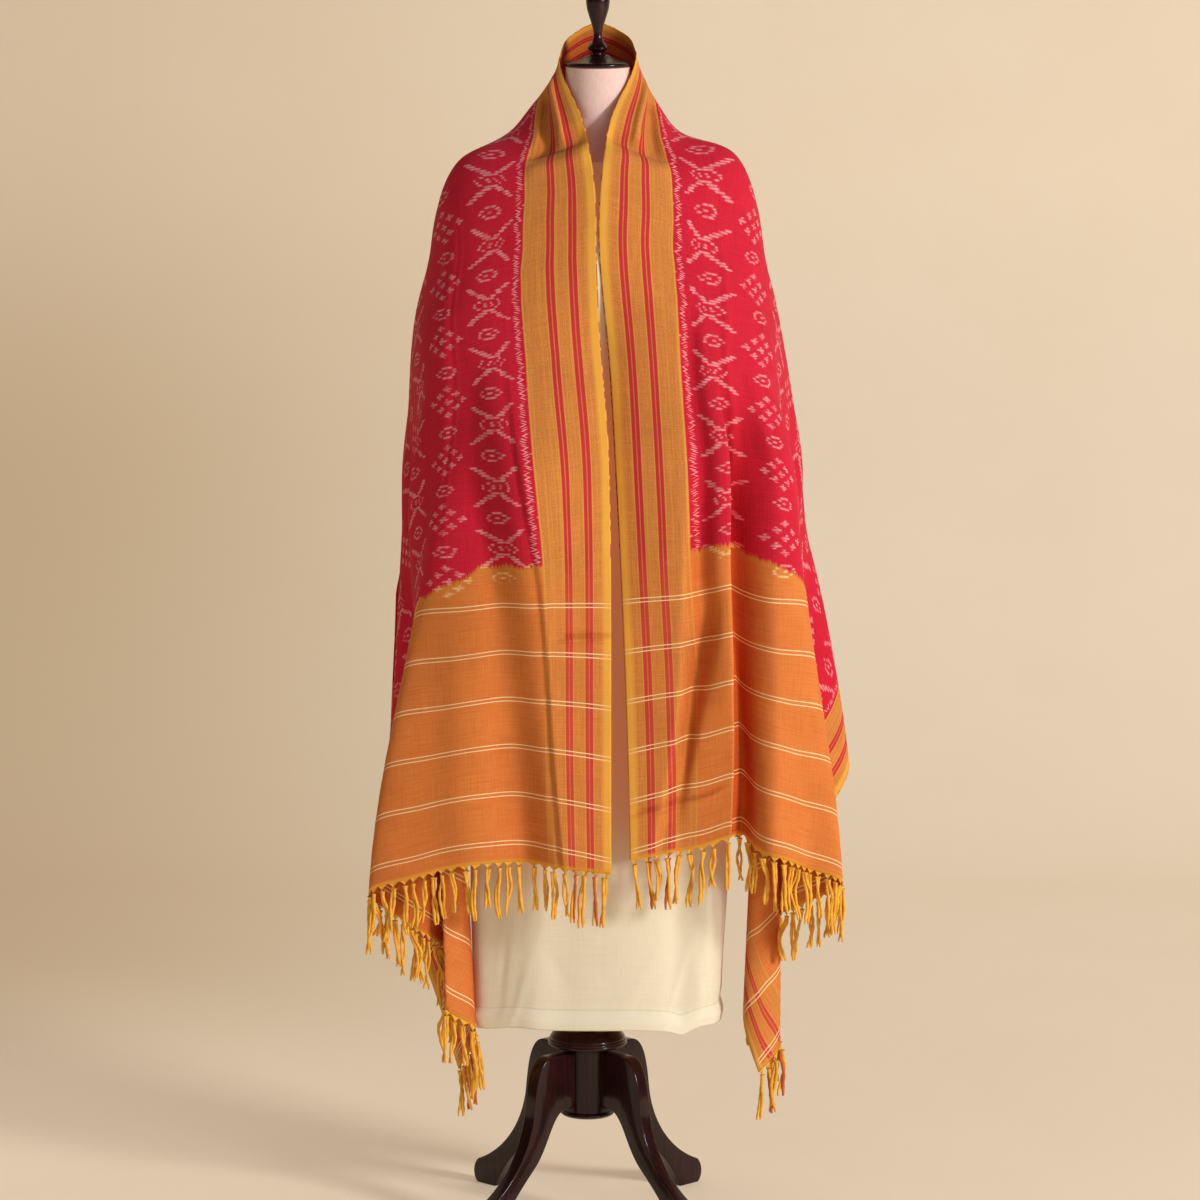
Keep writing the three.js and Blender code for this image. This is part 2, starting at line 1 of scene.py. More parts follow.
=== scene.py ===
"""Patola dupatta draped as a shawl over a dress form that stands on a turned column with splayed legs."""
import math
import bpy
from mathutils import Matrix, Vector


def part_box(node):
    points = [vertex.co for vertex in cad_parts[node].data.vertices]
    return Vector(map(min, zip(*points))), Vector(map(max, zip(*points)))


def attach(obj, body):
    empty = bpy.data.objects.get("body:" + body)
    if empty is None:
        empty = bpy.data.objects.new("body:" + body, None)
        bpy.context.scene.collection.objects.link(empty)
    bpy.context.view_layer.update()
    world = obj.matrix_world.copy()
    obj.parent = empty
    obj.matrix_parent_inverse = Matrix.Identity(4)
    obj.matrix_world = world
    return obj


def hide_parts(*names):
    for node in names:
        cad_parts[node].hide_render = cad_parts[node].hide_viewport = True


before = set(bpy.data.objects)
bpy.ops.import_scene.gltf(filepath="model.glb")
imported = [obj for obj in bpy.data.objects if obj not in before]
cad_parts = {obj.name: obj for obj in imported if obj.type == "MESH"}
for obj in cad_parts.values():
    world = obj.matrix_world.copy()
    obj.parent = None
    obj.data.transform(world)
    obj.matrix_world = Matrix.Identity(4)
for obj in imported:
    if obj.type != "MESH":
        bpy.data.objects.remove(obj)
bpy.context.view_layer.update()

from types import SimpleNamespace

import bpy
import numpy as np
from mathutils import Vector

bl_info = {
    "name": "Patola dupatta on a dress form",
    "version": (1, 0, 0),
    "blender": (4, 5, 0),
    "location": "View3D > Sidebar > Dupatta",
    "description": "Builds an ikat dupatta with its tassels, the dress form under it, and a plain stage",
    "category": "Add Mesh",
}

BODY = "root"
MM = 0.001
TAU = 2 * math.pi
# Keeps a divisor, or what is raised to a power less than 0, away from zero.
TINY = 1e-6


def linear(code):
    """Linear red, green and blue of an sRGB hex value."""
    levels = [int(code[k:k + 2], 16) / 255 for k in (1, 3, 5)]
    return [x / 12.92 if x <= 0.04045 else ((x + 0.055) / 1.055) ** 2.4 for x in levels]


def middle_of(node):
    """Middle of a CAD node's box, in metres."""
    low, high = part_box(node)
    return (Vector(low) + Vector(high)) / 2


FORM_AXIS = middle_of("finial")
STAND_AXIS = middle_of("column")


# ---------------------------------------------------------------------------------------------
# Sizes and colours that a user would change
# ---------------------------------------------------------------------------------------------

def size(name, text, default):
    return bpy.props.FloatProperty(name=name, description=text, default=default, unit="LENGTH", precision=4)


def colour(name, text, code):
    return bpy.props.FloatVectorProperty(
        name=name, description=text, default=linear(code), subtype="COLOR", size=3, min=0, max=1)


class ClothSettings(bpy.types.PropertyGroup):
    """Sizes and colours of the dupatta."""

    thickness: size("Thickness", "Thickness of the woven cloth", 0.0007)
    columns: bpy.props.IntProperty(name="Columns", description="Cells along the cloth", default=330, min=60)
    tassel: size("Tassel length", "Length of a fringe tassel below its knot", 0.067)
    tassels: bpy.props.IntProperty(name="Tassels", description="Tassels along one end", default=56, min=4)
    field: colour("Field", "Crimson ground of the middle of the cloth", "#D6203A")
    motif: colour("Motif", "Undyed weft that shows as pink marks", "#F0A0A6")
    border: colour("Border", "Golden warp of the two long borders", "#DF9340")
    selvedge: colour("Selvedge", "Lighter yellow strip along each long edge", "#EAAC40")
    panel: colour("End panel", "Orange weft of the two end panels", "#DE8440")
    stripe: colour("Stripe", "Crimson double stripes of the borders", "#C22636")
    line: colour("Weft line", "Pale double lines across the end panels", "#F5D9A6")
    yarn: colour("Tassel yarn", "Golden warp ends twisted into tassels", "#F6B83C")


class FormSettings(bpy.types.PropertyGroup):
    """Colours of the dress form and of its stand."""

    jersey: colour("Jersey", "Pinkish beige jersey of the torso", "#EFCFC6")
    slip: colour("Slip", "Undyed cotton slip", "#ECE2C8")
    wood: colour("Wood", "Mahogany stain", "#331110")


class StageSettings(bpy.types.PropertyGroup):
    """Camera, backdrop and light levels."""

    distance: size("Camera distance", "Level distance of the camera from the form's axis", 8.0)
    height: size("Camera height", "Height of the camera over the floor", 2.2)
    pitch: bpy.props.FloatProperty(
        name="Camera pitch", description="How far the camera looks down", default=math.radians(9.3),
        subtype="ANGLE")
    lens: bpy.props.FloatProperty(name="Lens", description="Focal length", default=171.4, unit="CAMERA")
    backdrop: colour("Backdrop", "Pale warm paper", "#EFDFC8")
    key: bpy.props.FloatProperty(name="Key", description="Power of the key lamp", default=318, unit="POWER")
    fill: bpy.props.FloatProperty(name="Fill", description="Power of the fill lamp", default=30, unit="POWER")


# ---------------------------------------------------------------------------------------------
# Meshes
# ---------------------------------------------------------------------------------------------

def new_piece(name, points, faces, replaced, sharp=None):
    """Makes a mesh piece of points (n, 3) and quads, which rides on the part's one body and stands for the
    replaced CAD nodes.  Edges that turn by more than sharp degrees are shaded sharp."""
    mesh = bpy.data.meshes.new(name)
    mesh.vertices.add(len(points))
    mesh.vertices.foreach_set("co", np.asarray(points, dtype=np.float32).ravel())
    mesh.loops.add(faces.size)
    mesh.loops.foreach_set("vertex_index", faces.astype(np.int32).ravel())
    mesh.polygons.add(len(faces))
    mesh.polygons.foreach_set("loop_start", np.arange(0, faces.size, faces.shape[1], dtype=np.int32))
    mesh.update(calc_edges=True)
    mesh.validate()
    mesh.shade_smooth()
    if sharp is not None:
        mesh.set_sharp_from_angle(angle=math.radians(sharp))
    piece = bpy.data.objects.new(name, mesh)
    bpy.context.scene.collection.objects.link(piece)
    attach(piece, BODY)
    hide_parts(*replaced)
    return piece


def grid_faces(rows, columns, closed=False):
    """Quads of a grid whose point (row, column) is number row * columns + column; closed joins its last
    column to its first."""
    row = np.arange(rows - 1)[:, None]
    column = np.arange(columns if closed else columns - 1)[None, :]
    here = row * columns + column
    beside = row * columns + (column + 1) % columns
    corners = np.broadcast_arrays(here, beside, beside + columns, here + columns)
    return np.stack(corners, axis=-1).reshape(-1, 4)


def set_uv(piece, name, across, along):
    """Gives each corner of each face the two values of its point, in metres of flat cloth or yarn."""
    mesh = piece.data
    layer = mesh.uv_layers.new(name=name)
    point = np.empty(len(mesh.loops), dtype=np.int32)
    mesh.loops.foreach_get("vertex_index", point)
    layer.data.foreach_set("uv", np.stack([across[point], along[point]], axis=-1).astype(np.float32).ravel())


def thicken(piece, thickness):
    """Gives a sheet its wall, half to each side."""
    wall = piece.modifiers.new("wall", "SOLIDIFY")
    wall.thickness = thickness
    wall.offset = 0
    wall.use_even_offset = False


def unit(vectors):
    """Vectors of length one."""
    return vectors / np.maximum(np.linalg.norm(vectors, axis=-1, keepdims=True), 1e-9)


def grid_normals(points):
    """Normals of a grid (rows, columns, 3): the cross product of the way along it and the way down it."""
    return unit(np.cross(np.gradient(points, axis=1), np.gradient(points, axis=0)))


def bump(value, middle, width):
    """A soft hill, one high, at middle, that falls to a third at width."""
    return np.exp(-((value - middle) / width) ** 2)


def ramp(value, start, end):
    """A smooth step from 0 at start to 1 at end."""
    part = np.clip((value - start) / (end - start), 0, 1)
    return part * part * (3 - 2 * part)


# ---------------------------------------------------------------------------------------------
# Hang of the dupatta, in millimetres
# ---------------------------------------------------------------------------------------------

CLOTH_LENGTH = 2530
CLOTH_WIDTH = 940
NAPE_HALF = 105
REACH = CLOTH_LENGTH / 2 - NAPE_HALF
CORNER = math.degrees(math.atan2(CLOTH_WIDTH, REACH))

# Distances down a hanging line at which its place in plan is given: the neck edge, collar, shoulder,
# upper arm, chest, waist and hem.
LEVELS = np.array([0, 110, 210, 300, 450, 700, 1200], dtype=float)

# Ovals round the form: level, half width on the left and on the right, half depth, middle, and the turn
# from the front at which the front edge of the cloth stands.
RINGS = [
    (110, {"left": 111, "right": 101}, 73, 11, 10),
    (210, {"left": 196, "right": 191}, 99, 0, 1),
    (300, {"left": 228, "right": 225}, 117, 0, 0.4),
]
NECK_OUT = 54
NECK_DEPTH = -5
NECK_HEIGHT = {"left": 1658, "right": 1664}
NAPE_DEPTH = 66
NAPE_HEIGHT = 1702
NAPE_SLOPE = 27
NAPE_SIDE = 28
NAPE_LEAN = 11.6

# One row for each hanging line: angle on the flat cloth from the front edge, start behind the neck point,
# [distance out, depth] at the chest, at the waist and at the hem level, and how far folds lift it there.
FOLDS = {
    "left": [
        (0, 0, (-4, -125), (-12, -131), (-17, -127), -2),
        (5, 0, (34, -133), (48, -140), (84, -132), 15),
        (10, 0, (72, -137), (108, -149), (182, -148), 22),
        (14.5, 0, (108, -136), (164, -144), (258, -141), 12),
        (19, 0, (143, -130), (220, -128), (321, -122), 3),
        (24, 0, (177, -118), (246, -98), (262, -88), -2),
        (29, 0, (212, -98), (266, -66), (208, -56), -6),
        (31, 0, (224, -88), (260, -52), (192, -61), -10),
        (33, 0, (232, -78), (254, -40), (222, -86), -16),
        (35.5, 0, (242, -64), (244, -20), (185, -60), -20),
        (CORNER, 0, (251, -38), (250, 6), (210, -2), -26),
        (43, 0, (256, -8), (262, 26), (250, 55), -12),
        (47, 0, (258, 22), (273, 46), (306, 100), 0),
        (51.5, 0, (248, 50), (276, 70), (288, 156), 0),
        (56, 0, (236, 74), (272, 98), (302, 104), 0),
        (66, 0, (200, 126), (208, 124), (218, 138), 0),
        (78, 0, (146, 108), (166, 176), (186, 212), 0),
        (90, 0, (108, 144), (111, 134), (120, 146), 0),
        (90, 52, (54, 126), (55, 162), (58, 186), 0),
        (90, 105, (0, 138), (0, 146), (0, 156), 0),
    ],
    "right": [
        (0, 0, (15, -125), (32, -136), (46, -142), 7),
        (5, 0, (53, -133), (92, -147), (146, -146), 24),
        (10, 0, (90, -137), (150, -152), (232, -164), 24),
        (14.5, 0, (123, -136), (204, -142), (292, -142), 10),
        (19, 0, (155, -130), (254, -120), (343, -126), 0),
        (24, 0, (185, -118), (276, -98), (276, -60), -3),
        (28, 0, (210, -102), (280, -70), (238, 4), -6),
        (31, 0, (226, -84), (268, -54), (254, 0), -10),
        (34, 0, (238, -66), (262, -30), (228, -14), -16),
        (37, 0, (243, -48), (262, -10), (261, -34), -22),
        (CORNER, 0, (247, -34), (264, 6), (236, -48), -28),
        (41, 0, (250, -20), (268, 16), (217, -38), -16),
        (44, 0, (252, 0), (276, 30), (228, 4), -8),
        (47, 0, (254, 22), (286, 46), (258, 46), 0),
        (56, 0, (236, 74), (284, 98), (368, 104), 0),
        (66, 0, (202, 126), (222, 124), (236, 138), 0),
        (78, 0, (148, 108), (170, 176), (194, 212), 0),
        (90, 0, (108, 144), (111, 134), (120, 146), 0),
        (90, 52, (54, 126), (55, 162), (58, 186), 0),
        (90, 105, (0, 138), (0, 146), (0, 156), 0),
    ],
}
TOP_SPREAD = 0.35
END_SPREAD = 0.4
RING_STEPS = 180


def line_knots(side):
    """Knots (lines, levels, 3) of the hanging lines.

    The neck edge stands up behind the neck like a tent: straight slopes from its top, then a steep drop
    at each side.  Each line has an even share of the rings round the form and then its places from the
    table, and drops by what the length of each stretch leaves over from its plan.
    """
    rows = FOLDS[side]
    theta = np.radians([row[0] for row in rows])
    nape = np.array([row[1] for row in rows], dtype=float)
    plan = []
    for level, widths, depth, middle, start in RINGS:
        turn = np.radians(np.linspace(start, 180, RING_STEPS + 1))
        ring = np.stack([widths[side] * np.sin(turn), middle - depth * np.cos(turn)], axis=-1)
        length = np.concatenate([[0], np.cumsum(np.linalg.norm(np.diff(ring, axis=0), axis=1))])
        wanted = (level * theta + nape) / (level * TAU / 4 + NAPE_HALF) * length[-1]
        plan.append(np.stack([np.interp(wanted, length, ring[:, k]) for k in (0, 1)], axis=-1))
    plan += [np.array([row[k] for row in rows], dtype=float) for k in (2, 3, 4)]
    turn = nape / NAPE_HALF * TAU / 4
    out, back = np.maximum(np.cos(turn), 0) ** 0.75, np.sin(turn)
    whole = NAPE_SLOPE + NAPE_SIDE
    share = (whole - NAPE_SLOPE * out - NAPE_SIDE * out ** 10 - NAPE_LEAN * back) / (whole - NAPE_LEAN)
    knots = [np.stack([NECK_OUT * out, NECK_DEPTH + (NAPE_DEPTH - NECK_DEPTH) * back,
                       NECK_HEIGHT[side] + (NAPE_HEIGHT - NECK_HEIGHT[side]) * share], axis=-1)]
    for run, place in zip(np.diff(LEVELS), plan):
        across = np.linalg.norm(place - knots[-1][:, :2], axis=1)
        knots.append(np.column_stack([place, knots[-1][:, 2] - np.sqrt(run ** 2 - across ** 2)]))
    knots[-1][:, 2] += [row[5] for row in rows]
    return np.stack(knots, axis=1)


def line_slopes(knots):
    """Slopes of the lines at their knots: the chord of the two beside it, steeper at both ends."""
    before = np.maximum(np.arange(len(LEVELS)) - 1, 0)
    after = np.minimum(np.arange(len(LEVELS)) + 1, len(LEVELS) - 1)
    slopes = (knots[:, after] - knots[:, before]) / (LEVELS[after] - LEVELS[before])[None, :, None]
    for end, share in ((0, TOP_SPREAD), (-1, END_SPREAD)):
        slopes[:, end, :2] *= share
        slopes[:, end, 2] = -np.sqrt(1 - (slopes[:, end, :2] ** 2).sum(axis=1))
    return slopes


def cubic(start, start_slope, end, end_slope, span, part):
    """Cubic from start to end that has the two slopes there."""
    rest = 1 - part
    return (start * (1 + 2 * part) * rest ** 2 + start_slope * span * part * rest ** 2
            + end * part ** 2 * (3 - 2 * part) - end_slope * span * part ** 2 * rest)


def on_lines(side, distance):
    """Places (lines, n, 3) of every hanging line of a side at each distance down it."""
    knots = line_knots(side)
    slopes = line_slopes(knots)
    index = np.clip(np.searchsorted(LEVELS, distance, side="left") - 1, 0, len(LEVELS) - 2)
    span = LEVELS[index + 1] - LEVELS[index]
    part = np.clip((distance - LEVELS[index]) / span, 0, 1)[None, :, None]
    place = cubic(knots[:, index], slopes[:, index], knots[:, index + 1], slopes[:, index + 1],
                  span[None, :, None], part)
    beyond = np.maximum(distance - LEVELS[-1], 0)[None, :, None]
    return place + slopes[:, -1:] * beyond


def hang(side, along, across):
    """Places (n, 3), out from the middle, of the flat cloth's points: along from its middle, across from
    its neck edge.  Each point is named by the line it hangs on and its distance down; a cubic over the
    four nearest lines gives the soft turn of the folds."""
    past_neck = np.maximum(along - NAPE_HALF, 0)
    theta = np.where(along >= NAPE_HALF, np.degrees(np.arctan2(across, np.maximum(past_neck, TINY))), 90)
    nape = np.where(along >= NAPE_HALF, 0, NAPE_HALF - along)
    distance = np.hypot(past_neck, across)
    rows = FOLDS[side]
    keys = np.array([row[0] + row[1] for row in rows])
    last = len(rows) - 1
    index = np.clip(np.searchsorted(keys, theta + nape, side="right") - 1, 0, last - 1)
    lines = on_lines(side, distance)
    angles = np.radians([row[0] for row in rows])
    starts = np.array([row[1] for row in rows])
    point = np.arange(len(along))
    near = [np.clip(index + k, 0, last) for k in (-1, 0, 1, 2)]
    places = [lines[k, point] for k in near]
    rounds = [distance * angles[k] + starts[k] for k in near]
    at_back = index == last - 1
    places[3] = np.where(at_back[:, None], places[1] * [-1, 1, 1], places[3])
    rounds[3] = np.where(at_back, 2 * rounds[2] - rounds[1], rounds[3])
    span = np.maximum(rounds[2] - rounds[1], TINY)
    part = np.clip((distance * np.radians(theta) + nape - rounds[1]) / span, 0, 1)[:, None]
    start_slope = (places[2] - places[0]) / np.maximum(rounds[2] - rounds[0], TINY)[:, None]
    end_slope = (places[3] - places[1]) / np.maximum(rounds[3] - rounds[1], TINY)[:, None]
    return cubic(places[1], start_slope, places[2], end_slope, span[:, None], part)


def drape(along, across):
    """Places in metres of the flat cloth's points: along is signed, less than 0 on the left."""
    along, across = np.broadcast_arrays(np.asarray(along, dtype=float), np.asarray(across, dtype=float))
    flat_along, flat_across = along.ravel(), across.ravel()
    out = np.empty((along.size, 3))
    for side, sign, here in (("left", -1, flat_along < 0), ("right", 1, flat_along >= 0)):
        out[here] = hang(side, np.abs(flat_along[here]), flat_across[here]) * [sign, 1, 1]
    out *= MM
    out[:, 0] += FORM_AXIS.x
    out[:, 1] += FORM_AXIS.y
    return out.reshape(along.shape + (3,))


# How far across the cloth a thread near the neck edge hangs, as a share of its flat place: gathered at
# the collar, let out below it.  Rows are the distance along from the middle and the share on each side.
GATHER = {
    "left": [
        (0, 0.62), (120, 0.60), (160, 0.66), (200, 0.73), (230, 0.82), (300, 0.88), (340, 0.98),
        (400, 1.08), (450, 1.08), (530, 1.03), (620, 1.01), (730, 0.99), (830, 0.96), (1000, 0.93),
        (1265, 0.88),
    ],
    "right": [
        (0, 0.68), (120, 0.68), (160, 0.74), (200, 0.78), (230, 0.83), (300, 0.92), (340, 1.01),
        (400, 1.08), (450, 1.08), (530, 1.03), (620, 1.0), (730, 0.98), (830, 0.97), (1000, 0.98),
        (1265, 0.94),
    ],
}
GATHER_FROM = 100
GATHER_TO = 260
# Past the gathers, the left front is drawn in a little more: how far, and from where to where across.
PINCH = 11
PINCH_ON = (150, 214)
PINCH_OFF = (300, 430)

# Creases and folds, placed on the flat cloth in millimetres: side, start and end as (along,
# across), widths toward the neck edge and away from it, and height out of the cloth or into it.
CREASES = [
    # The collar: a kink across each side, and the upright folds that it gathers.
    (-1, (236, -10), (232, 110), 6, 18, -8),
    (-1, (256, -10), (256, 110), 16, 7, 4),
    (-1, (110, 44), (240, 40), 4, 12, 7),
    (-1, (120, 82), (240, 78), 18, 10, -9),
    (1, (238, -10), (246, 110), 6, 18, -7),
    (1, (258, -10), (266, 110), 16, 7, 4),
    (1, (110, 50), (246, 48), 5, 12, 7),
    (1, (120, 90), (246, 84), 18, 10, -9),
    # The left front: the panel rises to a ridge along the border's inner edge, ever steeper, and the
    # border stands out beside it.  Beyond is a slow wave.
    (-1, (480, 128), (1560, 56), 500, 4, 6),
    (-1, (480, 130), (1560, 58), 500, 40, 36),
    (-1, (600, 214), (1560, 206), 46, 38, 8),
    (-1, (240, 196), (900, 236), 2.6, 3, 0.7),
    (-1, (280, 226), (940, 272), 2.6, 3, 0.9),
    (-1, (220, 210), (960, 262), 10, 18, 2.2),
    # The right front: the border stands out too, then the knife pleat with its hollow.
    (1, (560, 110), (1560, 28), 500, 15, 15),
    (1, (540, 147), (1130, 148), 30, 3, 12),
    (1, (420, 116), (980, 114), 11, 13, -9),
    (1, (860, 130), (1330, 36), 11, 15, -12),
    (1, (940, 148), (1560, 150), 110, 3, 8),
    (1, (560, 160), (1560, 164), 8, 32, -34),
    (1, (420, 226), (1560, 234), 24, 60, 12),
    (1, (260, 226), (900, 244), 3, 4, 1.2),
    (1, (300, 172), (760, 168), 5, 7, 2.2),
    # Buckles across the borders, and the marks where the cloth was folded away.
    (-1, (934, -10), (930, 84), 3, 2, 4),
    (-1, (928, -10), (924, 80), 2.5, 2.5, -3.5),
    (1, (1206, -10), (1190, 150), 3, 2, 3.2),
    (1, (1200, -10), (1184, 150), 2.5, 2.5, -3),
    # The sides and the back, which hang in larger, softer folds.
    (-1, (420, 470), (1100, 620), 46, 40, 5),
    (-1, (360, 560), (900, 800), 50, 50, -3),
    (-1, (300, 420), (600, 800), 34, 40, 11),
    (1, (420, 470), (1100, 620), 46, 40, 5),
    (1, (360, 560), (900, 800), 50, 50, -5),
    (1, (300, 420), (600, 800), 34, 40, 11),
    (-1, (150, 260), (250, 1100), 34, 40, 14),
    (-1, (60, 260), (90, 1100), 30, 36, -11),
    (1, (150, 260), (250, 1100), 34, 40, 14),
    (1, (60, 260), (90, 1100), 30, 36, -11),
]
CREASE_FADE = 0.22

# The right pleat is lifted, and its edge pushed sideways over its hollow.  The lift has its middle across
# the cloth and its reach; both grow along the cloth from one place to another.
PLEAT_LIFT = 17
PLEAT_LIFT_AT = (152, 34)
PLEAT_LIFT_GROWS = (620, 860)
PLEAT_OVER = 9
PLEAT_EDGE = 148
PLEAT_WIDTHS = (34, 3)
PLEAT_OVER_GROWS = (540, 700)
STEEPNESS = 2.6


def plateau(off, before, after):
    """exp(-|off / width| ** 2.6): flat on top and steep at its sides, with a width of its own on each."""
    return np.exp(-np.abs(off / np.where(off < 0, before, after)) ** STEEPNESS)


def crease_lift(along, across):
    """Height of all creases: each is a plateau over its middle line that fades in from both its ends."""
    lift = np.zeros(along.shape)
    for side, start, end, before, after, height in CREASES:
        run = np.array(end, dtype=float) - start
        length = np.hypot(*run)
        down, over = np.abs(along) - start[0], across - start[1]
        part = (down * run[0] + over * run[1]) / length ** 2
        off = (over * run[0] - down * run[1]) / length
        shape = plateau(off, before, after) * ramp(part, 0, CREASE_FADE) * ramp(part, 1, 1 - CREASE_FADE)
        lift += np.where(np.sign(along) == side, height * shape, 0)
    return lift


def gathered(along, across):
    """Where each thread hangs across the cloth once the collar gathers it."""
    shares = [np.interp(np.abs(along), *np.transpose(GATHER[side])) for side in ("left", "right")]
    share = np.where(along < 0, *shares)
    moved = across * (1 - (1 - share) * (1 - ramp(across, GATHER_FROM, GATHER_TO)))
    pinch = PINCH * ramp(across, *PINCH_ON) * (1 - ramp(across, *PINCH_OFF))
    return moved - np.where(along < 0, pinch, 0)


def with_folds(points, along, across):
    """Adds the creases to the hang, along its normal, and the pull of the right pleat."""
    lift = crease_lift(along, across)
    points = points + grid_normals(points) * (lift * MM)[..., None]
    points[..., 2] += PLEAT_LIFT * bump(across, *PLEAT_LIFT_AT) * ramp(along, *PLEAT_LIFT_GROWS) * MM
    over = PLEAT_OVER * plateau(across - PLEAT_EDGE, *PLEAT_WIDTHS)
    points[..., 0] += over * ramp(along, *PLEAT_OVER_GROWS) * MM
    return points


def hung(along, across):
    """The finished hang of a grid of flat places: gathered, draped and creased."""
    return with_folds(drape(along, gathered(along, across)), along, across)


# The grid's rows lie closer from the neck edge to FINE_EDGE.
FINE_EDGE = 236
FINE_ROWS = 84
WIDE_ROWS = 62
# Its columns lie closer round the kinks of the collar and the buckles of the borders: place, reach, and
# how much closer.
KINK = (242, 40)
BUCKLES = [(-931, 14, 2), (1197, 16, 2)]


def cloth_grid(columns):
    """Flat places of the cloth's grid, closer where it has sharp folds."""
    even = np.linspace(-CLOTH_LENGTH / 2, CLOTH_LENGTH / 2, CLOTH_LENGTH + 1)
    need = 1 + bump(np.abs(even), *KINK)
    for place, reach, closer in BUCKLES:
        need += closer * bump(even, place, reach)
    count = np.concatenate([[0], np.cumsum((need[1:] + need[:-1]) / 2)])
    along = np.interp(np.linspace(0, count[-1], columns + 1), count, even)
    across = np.concatenate([np.linspace(0, FINE_EDGE, FINE_ROWS + 1),
                             np.linspace(FINE_EDGE, CLOTH_WIDTH, WIDE_ROWS + 1)[1:]])
    return np.meshgrid(along, across)


# ---------------------------------------------------------------------------------------------
# Materials
# ---------------------------------------------------------------------------------------------

# Kinds of node that are used often, as add takes them.
TIMES = "Math.MULTIPLY"
OVER = "Math.DIVIDE"
PLUS = "Math.ADD"
MINUS = "Math.SUBTRACT"
ABSOLUTE = "Math.ABSOLUTE"
GREATER = "Math.MAXIMUM"
LESSER = "Math.MINIMUM"
ABOVE = "Math.GREATER_THAN"
BELOW = "Math.LESS_THAN"
NEAREST = "Math.ROUND"
WHOLE = "Math.FLOOR"
PLACE = "CombineXYZ"
NOISE = "TexNoise"
RANDOM = "TexWhiteNoise"
RANGE = "MapRange"
MIX = "MixRGB"
SOFT = {"interpolation_type": "SMOOTHSTEP"}
HOLLOW_SAMPLES = 6


def add(tree, kind, *inputs, **settings):
    """Adds one node to a tree and gives its first output.

    kind is the node's type, and after a dot its operation.  inputs are set or linked in order, and None
    leaves one as it is.  Math on more than two goes on from the result so far to the next one.
    """
    if kind.startswith("Math.") and len(inputs) > 2:
        inputs = (add(tree, kind, *inputs[:-1]), inputs[-1])
    kind, _, operation = kind.partition(".")
    node = tree.nodes.new("ShaderNode" + kind)
    if operation:
        node.operation = operation
    for name, value in settings.items():
        setattr(node, name, value)
    for socket, value in zip(node.inputs, inputs):
        if isinstance(value, bpy.types.NodeSocket):
            tree.links.new(value, socket)
        elif value is not None:
            socket.default_value = value
    return node.outputs[0]


def dye(code):
    """An sRGB hex value as a socket's colour."""
    return rgba(linear(code))


def rgba(value):
    """A colour property, or three numbers, as a socket's four."""
    return (*value, 1)


def new_material(name):
    """An empty material, and its tree."""
    material = bpy.data.materials.new(name)
    material.use_nodes = True
    tree = material.node_tree
    tree.nodes.clear()
    return material, tree


def finish_material(tree, base, roughness, height=None, height_mm=0.0, glow=None, covers=(), **constants):
    """Ends a tree in one Principled shader.  height from 0 to 1 is a bump of height_mm, glow is the strength
    of its emission, and covers are pairs of a share and a shader that takes the place of that share."""
    shader = add(tree, "BsdfPrincipled", base).node
    shader.inputs["Roughness"].default_value = roughness
    for name, value in constants.items():
        shader.inputs[name.replace("_", " ")].default_value = value
    if glow is not None:
        tree.links.new(glow, shader.inputs["Emission Strength"])
    if height is not None:
        relief = add(tree, "Bump", 1, height_mm * MM).node
        tree.links.new(height, relief.inputs["Height"])
        tree.links.new(relief.outputs[0], shader.inputs["Normal"])
    surface = shader.outputs[0]
    for share, cover in covers:
        surface = add(tree, "MixShader", share, surface, cover)
    output = tree.nodes.new("ShaderNodeOutputMaterial")
    tree.links.new(surface, output.inputs["Surface"])


def uv_in_mm(tree, name):
    """The two flat coordinates of a piece's own UV map, in millimetres."""
    places = add(tree, "SeparateXYZ", add(tree, "UVMap", uv_map=name)).node.outputs
    return [add(tree, TIMES, places[k], 1000.0) for k in (0, 1)]


def object_in_mm(tree):
    """Object coordinates in millimetres."""
    return add(tree, "VectorMath.SCALE", add(tree, "TexCoord").node.outputs["Object"], None, None, 1000.0)


def streaks(tree, along, across, detail, roughness=0.5):
    """Uneven streaks from 0 to 1: noise on two flat coordinates, each (socket, share), drawn out where the
    share is small."""
    place = add(tree, PLACE, add(tree, TIMES, *along), add(tree, TIMES, *across))
    return add(tree, NOISE, place, None, 1.0, detail, roughness)


def threads(tree, along, across, thread=1.5, length=45.0):
    """Uneven threads of a plain weave, from 0 to 1: noise drawn out along each of the two ways.

    A real thread is 0.4 mm apart; the noise is as coarse as shows at this view.
    """
    ways = []
    for k, (long_way, short_way) in enumerate(((along, across), (across, along))):
        stretched = add(tree, OVER, long_way, length), add(tree, OVER, short_way, thread)
        ways.append(add(tree, NOISE, add(tree, PLACE, *stretched, 7.0 * k), None, 1.0, 2.0, 0.6))
    return add(tree, TIMES, add(tree, PLUS, *ways), 0.5)


def band(tree, value, start, end, soft):
    """1 between start and end, with edges as wide as soft."""
    away = add(tree, ABSOLUTE, add(tree, MINUS, value, (start + end) / 2))
    half = (end - start) / 2
    return add(tree, RANGE, away, half + soft / 2, half - soft / 2, 0.0, 1.0, **SOFT)


def wrapped(tree, value, pitch):
    """Distance from the nearest whole multiple of pitch, from -pitch / 2 to pitch / 2."""
    turn = add(tree, OVER, value, pitch)
    return add(tree, TIMES, add(tree, MINUS, turn, add(tree, NEAREST, turn)), pitch)


